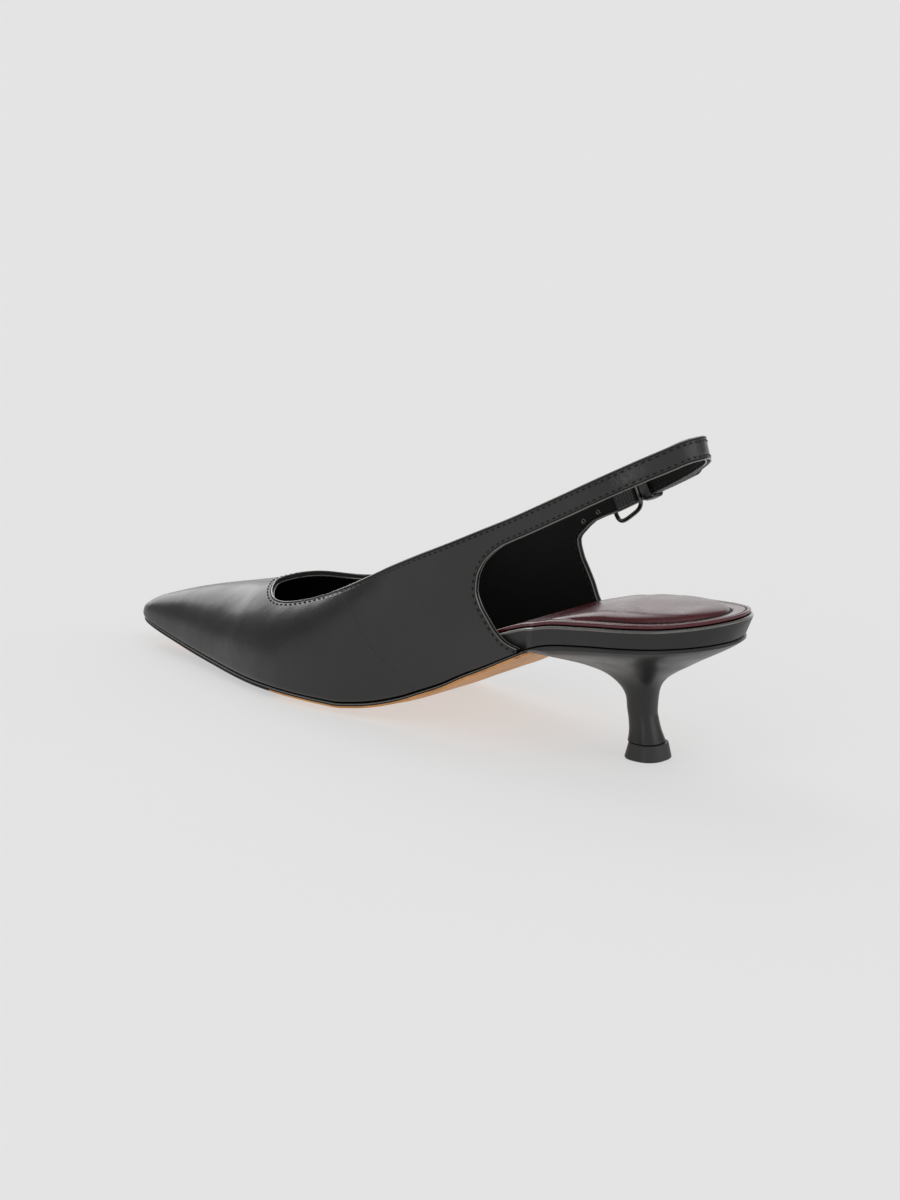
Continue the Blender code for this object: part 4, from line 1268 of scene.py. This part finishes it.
class SLINGBACK_OT_upper(bpy.types.Operator):
    """Vamp, quarters, sling and buckle strap as one leather wall with lining and painted edges"""

    bl_idname = "slingback.upper"
    bl_label = "Upper"

    def execute(self, context):
        colours = context.scene.slingback_colours
        points, faces, edges, start = [], [], [], 0
        for side, patches in skin_patches().items():
            front, tip, root = patches
            for patch in patches:
                rows, steps = patch.shape[:2]
                faces += grid_quads(rows, steps, start=start, flip=side > 0)
                points.append(patch.reshape(-1, 3))
                start += rows * steps
            edges += [front[VAMP_ROWS - 1 :, -1], tip[:, -1], root[:, -1], root[:, 0], root[-1]]
        upper = new_piece(
            "upper_leather_wall",
            np.concatenate(points),
            faces,
            (
                leather(colours, "smooth_nappa", stitched=True),
                leather(colours, "glove_lining"),
                plain(colours, "edge_paint"),
            ),
            closed=False,
        )
        mesh = upper.data
        place = np.empty(len(mesh.vertices) * 3, np.float32)
        mesh.vertices.foreach_get("co", place)
        place = place.reshape(-1, 3).astype(float)
        normals = np.empty(len(mesh.vertices) * 3, np.float32)
        mesh.vertex_normals.foreach_get("vector", normals)
        edge_points = np.concatenate(edges)
        blocks = [
            np.sqrt(((block[:, None] - edge_points[None]) ** 2).sum(axis=2)).min(axis=1)
            for block in np.array_split(place, 12)
        ]
        edge = mesh.attributes.new("edge_mm", "FLOAT", "POINT")
        edge.data.foreach_set("value", (np.concatenate(blocks) / MM).astype(np.float32))
        place -= normals.reshape(-1, 3) * crease_depth(place)[:, None]
        mesh.vertices.foreach_set("co", place.astype(np.float32).ravel())
        wall = upper.modifiers.new("wall", "SOLIDIFY")
        wall.thickness = UPPER_WALL
        wall.offset = -1.0
        wall.material_offset = 1
        wall.material_offset_rim = 2
        smooth = upper.modifiers.new("smooth", "SUBSURF")
        smooth.levels = smooth.render_levels = 1
        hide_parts("upper")
        return {"FINISHED"}


class SLINGBACK_OT_stitches(bpy.types.Operator):
    """Topstitching along the throat, topline, cut-outs and straps, on the outside and on the lining"""

    bl_idname = "slingback.stitches"
    bl_label = "Topstitching"

    def execute(self, context):
        sizes, colours = context.scene.slingback_sizes, context.scene.slingback_colours
        placed = []
        for edge, normal, into in edge_lines():
            round_throat = np.exp(-(((edge[:, 1] - along(0.27)) / (20 * MM)) ** 2))
            away = between(STITCH_INSET, THROAT_INSET, round_throat)
            station = station_of(edge[:, 1])
            folded = ease((station - 0.31) / 0.04) * ease((0.60 - station) / 0.08) * (edge[:, 2] > 0.04)
            sink = (0.04 + 0.2 * folded[:, None]) * MM
            line = beside_edge(edge, normal, into, away, 0, False) - normal * sink
            middle, run, facing = stitch_places(line, normal, sizes.stitch_pitch)
            placed.append((middle, run, facing))
            placed.append((middle - facing * UPPER_WALL, run, -facing))
        middles, runs, normals = (np.concatenate(column) for column in zip(*placed))
        points, faces = stitch_mesh(middles, runs, normals, sizes.stitch_length, sizes.thread_radius)
        stitches = new_piece("topstitching", points, faces, (plain(colours, "polyester_thread"),), sharp=80)
        return {"FINISHED"}


class SLINGBACK_OT_rolled_edges(bpy.types.Operator):
    """Thin rolled beads on both corners of throat, topline, cut-outs and straps, in a lighter grey as a
    painted highlight, each with a thin black tube beside it as a line of painted shade
    """

    bl_idname = "slingback.rolled_edges"
    bl_label = "Rolled edges"

    def execute(self, context):
        colours = context.scene.slingback_colours
        radius = context.scene.slingback_sizes.bead_radius
        points, faces, bands, start = [], [], [], 0
        for edge, normal, into in edge_lines():
            for inner in (False, True):
                bead = beside_edge(edge, normal, into, 0.5 * radius, 0.3 * radius, inner)
                # The crease is a thin black tube laid beside the bead: a line of painted shade, not a real
                # crease.
                crease = beside_edge(edge, normal, into, 2.3 * radius, 0.55 * radius, inner)
                for kind, path, thick in ((0, bead, radius), (1, crease, 0.9 * radius)):
                    rings = tube_rings(path, thick, BEAD_SIDES, normal)
                    tube = capped_quads(len(rings), BEAD_SIDES, start)
                    points.append(rings.reshape(-1, 3))
                    faces += tube
                    bands += [kind] * len(tube)
                    start += len(points[-1])
        # Beads in the lighter edge finish as a painted highlight, creases in black as painted shade.
        finishes = (plain(colours, "burnished_edge"), plain(colours, "edge_paint"))
        beads = new_piece("rolled_edges", np.concatenate(points), faces, finishes, bands)
        return {"FINISHED"}


class SLINGBACK_OT_side_seam(bpy.types.Operator):
    """Closed seam between the vamp and the quarter on the inner side, two low lips with a crack between"""

    bl_idname = "slingback.side_seam"
    bl_label = "Side seam"

    def execute(self, context):
        lip, colours = context.scene.slingback_sizes.seam_lip, context.scene.slingback_colours
        share = np.linspace(0, 1, 90)
        station, rise = curve_through(SIDE_SEAM, ("station", "rise"), share)
        y = along(station)
        z = between(upper_foot(y), topline_height(y), rise)
        angle = arch_angle(y, z, 1)
        path = skin_point(y, angle, 1)
        away = skin_point(y + 0.5 * MM, angle, 1) - path
        up = skin_point(y, angle + 0.01, 1) - path
        normal = unit(np.cross(away, up))
        path = path - normal * crease_depth(path)[:, None]
        across = unit(np.cross(normal, unit(np.gradient(path, axis=0))))
        offset = np.array([-0.7, -0.35, -0.12, 0.0, 0.12, 0.35, 0.7, 0.4, 0.0, -0.4]) * MM
        height = np.array([-0.10, 0.9 * lip / MM, 0.7 * lip / MM, -0.10, 0.8 * lip / MM, lip / MM])
        height = np.concatenate([height, [-0.10, -0.3, -0.3, -0.3]]) * MM
        rings = path[:, None] + across[:, None] * offset[:, None] + normal[:, None] * height[:, None]
        seam = lofted("side_seam", rings, leather(colours, "smooth_nappa", stitched=True), sharp=80)
        return {"FINISHED"}


class SLINGBACK_OT_strap_holes(bpy.types.Operator):
    """Punched holes in the buckle strap, each a black disc of painted shade where the hole is, with a pressed
    rim in the lighter grey of a painted highlight
    """

    bl_idname = "slingback.strap_holes"
    bl_label = "Strap holes"

    def execute(self, context):
        colours = context.scene.slingback_colours
        radius = context.scene.slingback_sizes.hole_radius
        turn = np.linspace(0, 2 * math.pi, 20, endpoint=False)
        girth = np.array([0.02, 0.7, 0.85, 1.05, 1.3, 1.4])[:, None] * radius
        height = np.array([0.10, 0.12, 0.30, 0.38, 0.20, -0.3])[:, None] * MM
        holes, faces, bands = [], [], []
        for y, z in HOLE_PLACES:
            x = sling_plan(np.array(y), -1) + UPPER_WALL + height
            hole = np.broadcast_arrays(x, y + girth * np.cos(turn), z + girth * np.sin(turn))
            faces += capped_quads(len(girth), len(turn), len(holes) * girth.size * len(turn))
            # The middle disc is black as painted shade for the hole, the rim takes the lighter edge finish as
            # a painted highlight.
            bands += [1] * len(turn) + [0] * (4 * len(turn)) + [1, 0]
            holes.append(np.stack(hole, axis=-1).reshape(-1, 3))
        finishes = (plain(colours, "burnished_edge"), plain(colours, "edge_paint"))
        piece = new_piece("strap_holes", np.concatenate(holes), faces, finishes, bands)
        return {"FINISHED"}


class SLINGBACK_OT_sole(bpy.types.Operator):
    """Tan leather outsole with a black inked edge"""

    bl_idname = "slingback.sole"
    bl_label = "Outsole"

    def execute(self, context):
        colours = context.scene.slingback_colours

        def low(x, y, share):
            middle = SOLE_THICKNESS * (1 - 0.45 * ease((station_of(y) - 0.45) / 0.15))
            return seam_height(y) - between(middle, SOLE_EDGE, ease((share - 0.4) / 0.6))

        def high(x, y, share):
            return seam_height(y)

        sole = bottom_layer(
            "leather_outsole",
            plan_rows(0.001, PLACES["breast"] - 0.001, 150),
            SOLE_INSET,
            low,
            high,
            (0.85 * MM, 0.45 * MM),
            (sole_leather(colours), plain(colours, "edge_paint"), plain(colours, "burnished_edge")),
            # Edge paint over and beside; the upper corner takes the lighter edge finish as a painted
            # highlight line.
            inked=(1, 2, 1, 0),
        )
        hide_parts("outsole")
        return {"FINISHED"}


class SLINGBACK_OT_band(bpy.types.Operator):
    """Board wrapped in black leather, whose edge is the band round the heel seat"""

    bl_idname = "slingback.band"
    bl_label = "Seat band"

    def execute(self, context):
        colours = context.scene.slingback_colours

        def low(x, y, share):
            return seam_height(y) + CLEARANCE

        def high(x, y, share):
            return bed_height(y) - SOCK_THICKNESS - CLEARANCE

        def worn_rim(away):
            return -0.32 * MM * max(0.0, 1 - away / (1.1 * MM))

        rows = plan_rows(0.016, 1.0, 70, rear_turn=True)
        band = bottom_layer(
            "wrapped_band",
            rows,
            inside_upper(rows),
            low,
            high,
            (0.5 * MM, 0.7 * MM),
            (leather(colours, "wrapped_kid"), plain(colours, "burnished_edge")),
            # The upper corner takes the lighter edge finish: a painted highlight line along the band's top.
            inked=(0, 1, 0, 0),
            flare=(0.0, 1.0),
            rim=worn_rim,
        )
        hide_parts("insole_board")
        return {"FINISHED"}


class SLINGBACK_OT_sock(bpy.types.Operator):
    """Burgundy leather sock with its padded heel seat, and the pressed grooves round the pad and by the rim
    painted black as painted shade
    """

    bl_idname = "slingback.sock"
    bl_label = "Padded sock"

    def execute(self, context):
        def low(x, y, share):
            return bed_height(y) - SOCK_THICKNESS

        def high(x, y, share):
            return bed_height(y) + pad_swell(x, y)

        def rolled_rim(away):
            return -0.30 * MM * math.exp(-(((away - 1.5 * MM) / (0.35 * MM)) ** 2))

        # Distance to the groove round the pad and to the rolled rim's groove; the sock is painted black and
        # matte along them as painted shade.
        def pressed(x, y, away):
            fade = 4 * (1 - ease((y - PAD_FRONT) / PAD_FADE))
            round_pad = np.abs(pad_inside(x, y) / MM + 0.3) + fade
            return np.minimum(round_pad, abs(away / MM - 1.5) + 0.12)

        rows = plan_rows(0.016, 1.0, 90, rear_turn=True)
        sock = bottom_layer(
            "padded_sock",
            rows,
            inside_upper(rows) + SOCK_INSET,
            low,
            high,
            (0.3 * MM, 0.5 * MM),
            (leather(context.scene.slingback_colours, "plated_sheepskin", shade_grooves=True),),
            flare=(1.0, 1.0),
            rim=rolled_rim,
            groove=pressed,
        )
        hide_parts("insole")
        return {"FINISHED"}


class SLINGBACK_OT_heel(bpy.types.Operator):
    """Leather-covered kitten heel and the top piece under it"""

    bl_idname = "slingback.heel"
    bl_label = "Heel"

    def execute(self, context):
        colours = context.scene.slingback_colours
        rings = []
        for height, half, depth, middle in zip(*STEM.values()):
            outline = stem_outline(half * STEM_WIDTH, depth * STEM_WIDTH, middle * STEM_WIDTH)
            z = between(LIFT_HEIGHT + CLEARANCE, SEAT_HEIGHT, height)
            rings.append(np.column_stack([outline, np.full(len(outline), z)]))
        seat = seat_outline()
        rearward = (seat[:, 1] - seat[:, 1].min()) / np.ptp(seat[:, 1])
        for share, rear, breast in list(zip(*FLARE.values()))[:-1]:
            flat = between(outline, seat, share)
            lip = between(1.0, between(0.12, 1.0, ease(rearward / 0.14)), share**6)
            drop = between(breast, rear, ease(rearward)) * lip * SEAT_HEIGHT
            rings.append(np.column_stack([flat, seam_height(flat[:, 1]) - drop]))
        stem = spline_through(rings, 110)
        middle = stem[-1].mean(axis=0)
        rim = []
        for drop, pull in ((0.45, 0.0), (0.2, 0.08), (0.05, 0.25), (0.0, 0.5)):
            ring = stem[-1].copy()
            ring[:, 2] = np.maximum(ring[:, 2], seam_height(ring[:, 1]) - drop * MM)
            ring[:, :2] -= unit(ring[:, :2] - middle[:2]) * pull * MM
            rim.append(ring)
        heel = lofted("covered_heel", np.concatenate([stem, rim]), leather(colours, "heel_cover"))
        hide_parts("heel")
        rings = []
        for height, inset in zip(*LIFT.values()):
            inset = inset * LIFT_WIDTH
            outline = stem_outline(LIFT_WIDTH / 2 - inset, LIFT_DEPTH - 2 * inset, 0.0)
            rings.append(np.column_stack([outline, np.full(len(outline), height * LIFT_HEIGHT)]))
        lift = lofted("top_piece", np.array(rings), plain(colours, "moulded_polyurethane"))
        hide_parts("top_lift")
        return {"FINISHED"}


class SLINGBACK_OT_elastic(bpy.types.Operator):
    """Ruched elastic inside the buckle strap, in even gathers"""

    bl_idname = "slingback.elastic"
    bl_label = "Ruched elastic"

    def execute(self, context):
        first = along(PLACES["buckle"]) - BUCKLE_WIRE / 2 - CLEARANCE - 1.2 * MM
        y = np.linspace(first - ELASTIC_LENGTH, first, 90)
        place = place_at(1, y)[:, None]
        share = np.linspace(0.06, 0.94, 10)
        down = STRAP_WIDTH * share[None, :]
        outside = TAIL_LIFT - UPPER_WALL - CLEARANCE
        gather = np.sin(np.linspace(0, 6 * math.pi, 90))[:, None] ** 2
        ribs = 0.4 * MM * gather * (1 - 0.2 * np.cos(8 * math.pi * share))[None, :]
        under = strap_point(-1, place, down, outside - ELASTIC_THICKNESS + ribs)
        over = strap_point(-1, place, down, np.full((90, 1), outside))
        rings = np.concatenate([under, over[:, ::-1]], axis=1)
        elastic = lofted("ruched_elastic", rings, knitted_elastic(context.scene.slingback_colours), sharp=70)
        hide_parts("strap_elastic")
        return {"FINISHED"}


class SLINGBACK_OT_buckle(bpy.types.Operator):
    """Rounded wire frame round the buckle strap, and its prong"""

    bl_idname = "slingback.buckle"
    bl_label = "Buckle"

    def execute(self, context):
        steel = plain(context.scene.slingback_colours, "black_nickel_plate")
        bar = along(PLACES["buckle"])
        front = bar - BUCKLE_LENGTH + BUCKLE_WIRE
        half = STRAP_WIDTH / 2 + BUCKLE_ROOM + BUCKLE_WIRE / 2 - 0.6 * MM
        turn = np.linspace(0, 2 * math.pi, 120, endpoint=False)
        way, rise = squared_circle(turn, 0.5)
        bar_lift = TAIL_LIFT - UPPER_WALL - CLEARANCE - BUCKLE_WIRE / 2
        front_lift = TAIL_LIFT + CLEARANCE + BUCKLE_WIRE / 2
        y = between(front, bar, (way + 1) / 2)
        lift = between(front_lift, bar_lift, (way + 1) / 2)
        down = STRAP_WIDTH / 2 + half * rise + BUCKLE_SAG * (1 - way) / 2
        path = strap_point(-1, place_at(1, y), down, lift)
        _, _, axes = np.linalg.svd(path - path.mean(axis=0))
        rings = tube_rings(path, BUCKLE_WIRE / 2, 16, axes[2], cyclic=True)
        loop = lofted("buckle_loop", rings, steel, ring_closed=True)
        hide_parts("buckle_frame")
        y = np.array([bar, bar - 3 * MM, front + 3 * MM, front - 0.4 * MM])
        radius = BUCKLE_WIRE * 0.4
        over_strap = TAIL_LIFT + CLEARANCE + radius
        rest = front_lift + BUCKLE_WIRE / 2 + CLEARANCE + radius
        lift = np.array([over_strap, over_strap, rest, rest])
        path = spline_through(strap_point(-1, place_at(1, y), STRAP_WIDTH / 2, lift), 40)
        taper = radius * (1 - 0.35 * np.linspace(0, 1, 40) ** 4)
        pin = lofted("buckle_pin", tube_rings(path, taper, 14, np.array([0.0, 0.0, 1.0])), steel)
        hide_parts("buckle_prong")
        return {"FINISHED"}


class SLINGBACK_OT_keeper(bpy.types.Operator):
    """Thin leather loop round the sling and the end of the buckle strap"""

    bl_idname = "slingback.keeper"
    bl_label = "Keeper"

    def execute(self, context):
        colours = context.scene.slingback_colours
        ends = place_at(1, along(PLACES["keeper"]) + np.array([0.0, KEEPER_WIDTH]))
        corners = np.linspace(0, 2 * math.pi, 64, endpoint=False)
        across, rise = squared_circle(corners, 0.4)
        middle = (TAIL_LIFT - UPPER_WALL) / 2
        rings = []
        for share, thick in KEEPER_SECTION:
            at = between(ends[0], ends[1], share)
            reach = (TAIL_LIFT + UPPER_WALL) / 2 + 0.8 * MM + thick * KEEPER_THICKNESS
            tall = STRAP_WIDTH / 2 + 0.5 * MM + thick * KEEPER_THICKNESS
            rings.append(strap_point(-1, at, STRAP_WIDTH / 2 + tall * rise, middle + reach * across))
        skin = leather(colours, "smooth_nappa", stitched=True)
        keeper = lofted("keeper_loop", np.array(rings), skin, ring_closed=True, sharp=60)
        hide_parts("strap_keeper")
        return {"FINISHED"}


# Floor and sky

FLOOR_SIZE = 14.0
WORLD_STRENGTH = 0.3

# Camera: angles in degrees, the point it looks at, its distance from there and its lens in mm
AZIMUTH, ELEVATION, ROLL = 128.5, 14.0, 1.5
AIM = Vector((1.4, -88.0, 40.6)) * MM
DISTANCE = 1.6
LENS = 135.36

# Soft boxes so far off that they light evenly: compass angle from the camera's back, height and width in
# degrees, and how much brighter than the room each one shines.
SOFT_BOXES = columns(
    ("turn", "rise", "width", "glow"),
    (
        (-156.0, 25.0, 44.0, 2.1),
        (165.0, 14.0, 44.0, 0.8),
        (-76.0, 8.0, 40.0, 0.45),
        (-30.0, 12.0, 18.0, 1.6),
        (80.0, 12.0, 40.0, 1.2),
        (10.0, 35.0, 100.0, 0.45),
    ),
)


def toward(turn, rise):
    """Unit vector at a compass angle from -Y, turned by way of +X, and at a height, both in radians."""
    return Vector((math.sin(turn) * math.cos(rise), -math.cos(turn) * math.cos(rise), math.sin(rise)))


def soft_box(turn, rise, width, glow):
    """A far round soft box: its strength is pi times the glow times the square of its half width's sine."""
    data = bpy.data.lights.new("soft_box", "SUN")
    data.angle = math.radians(width)
    data.energy = math.pi * glow * math.sin(data.angle / 2) ** 2
    light = bpy.data.objects.new("soft_box", data)
    away = toward(math.radians(AZIMUTH + turn), math.radians(rise))
    light.rotation_euler = away.to_track_quat("Z", "Y").to_euler()
    bpy.context.scene.collection.objects.link(light)


class SLINGBACK_OT_stage(bpy.types.Operator):
    """Pale floor, soft studio light and the camera at the photograph's angle"""

    bl_idname = "slingback.stage"
    bl_label = "Stage"

    def execute(self, context):
        scene = context.scene
        half = FLOOR_SIZE / 2
        mesh = bpy.data.meshes.new("floor")
        corners = [(-half, -half, 0), (half, -half, 0), (half, half, 0), (-half, half, 0)]
        mesh.from_pydata(corners, [], [(0, 1, 2, 3)])
        mesh.materials.append(plain(scene.slingback_colours, "opal_acrylic"))
        floor = bpy.data.objects.new("floor", mesh)
        scene.collection.objects.link(floor)
        world = bpy.data.worlds.new("light_tent")
        world.use_nodes = True
        world.node_tree.nodes["Background"].inputs["Color"].default_value = WHITE
        world.node_tree.nodes["Background"].inputs["Strength"].default_value = WORLD_STRENGTH
        scene.world = world
        for turn, rise, width, glow in zip(*SOFT_BOXES.values()):
            soft_box(turn, rise, width, glow)
        turn, rise, roll = (math.radians(v) for v in (AZIMUTH, ELEVATION, ROLL))
        back = toward(turn, rise)
        right = Vector((0, 0, 1)).cross(back).normalized()
        up = back.cross(right)
        rolled_right = right * math.cos(roll) + up * math.sin(roll)
        rolled_up = up * math.cos(roll) - right * math.sin(roll)
        camera = bpy.data.objects.new("camera", bpy.data.cameras.new("camera"))
        camera.data.lens = LENS
        camera.data.clip_end = 50.0
        camera.matrix_world = Matrix.Translation(AIM + back * DISTANCE) @ Matrix(
            (rolled_right, rolled_up, back)
        ).transposed().to_4x4()
        scene.collection.objects.link(camera)
        scene.camera = camera
        scene.view_settings.view_transform = "Standard"
        scene.view_settings.look = "None"
        return {"FINISHED"}


OPERATORS = (
    SLINGBACK_OT_upper,
    SLINGBACK_OT_stitches,
    SLINGBACK_OT_rolled_edges,
    SLINGBACK_OT_side_seam,
    SLINGBACK_OT_strap_holes,
    SLINGBACK_OT_sole,
    SLINGBACK_OT_band,
    SLINGBACK_OT_sock,
    SLINGBACK_OT_heel,
    SLINGBACK_OT_elastic,
    SLINGBACK_OT_buckle,
    SLINGBACK_OT_keeper,
    SLINGBACK_OT_stage,
)


class SLINGBACK_PT_shoe(bpy.types.Panel):
    """Sizes, colours and pieces of the slingback pump"""

    bl_idname = "SLINGBACK_PT_shoe"
    bl_label = "Slingback pump"
    bl_space_type = "VIEW_3D"
    bl_region_type = "UI"
    bl_category = "Shoe"

    def draw(self, context):
        layout = self.layout
        for group in (context.scene.slingback_sizes, context.scene.slingback_colours):
            box = layout.box()
            for name in group.__annotations__:
                box.prop(group, name)
        for operator in OPERATORS:
            layout.operator(operator.bl_idname)


CLASSES = (SlingbackSizes, SlingbackColours, *OPERATORS, SLINGBACK_PT_shoe)


def register():
    """Registers the classes and the scene's two groups of properties."""
    for cls in CLASSES:
        bpy.utils.register_class(cls)
    bpy.types.Scene.slingback_sizes = bpy.props.PointerProperty(type=SlingbackSizes)
    bpy.types.Scene.slingback_colours = bpy.props.PointerProperty(type=SlingbackColours)


def unregister():
    """Takes the properties and classes away again."""
    del bpy.types.Scene.slingback_colours
    del bpy.types.Scene.slingback_sizes
    for cls in reversed(CLASSES):
        bpy.utils.unregister_class(cls)


def main():
    """Builds every piece in order."""
    register()
    for operator in OPERATORS:
        getattr(bpy.ops.slingback, operator.bl_idname.split(".")[1])()


if __name__ == "__main__":
    main()
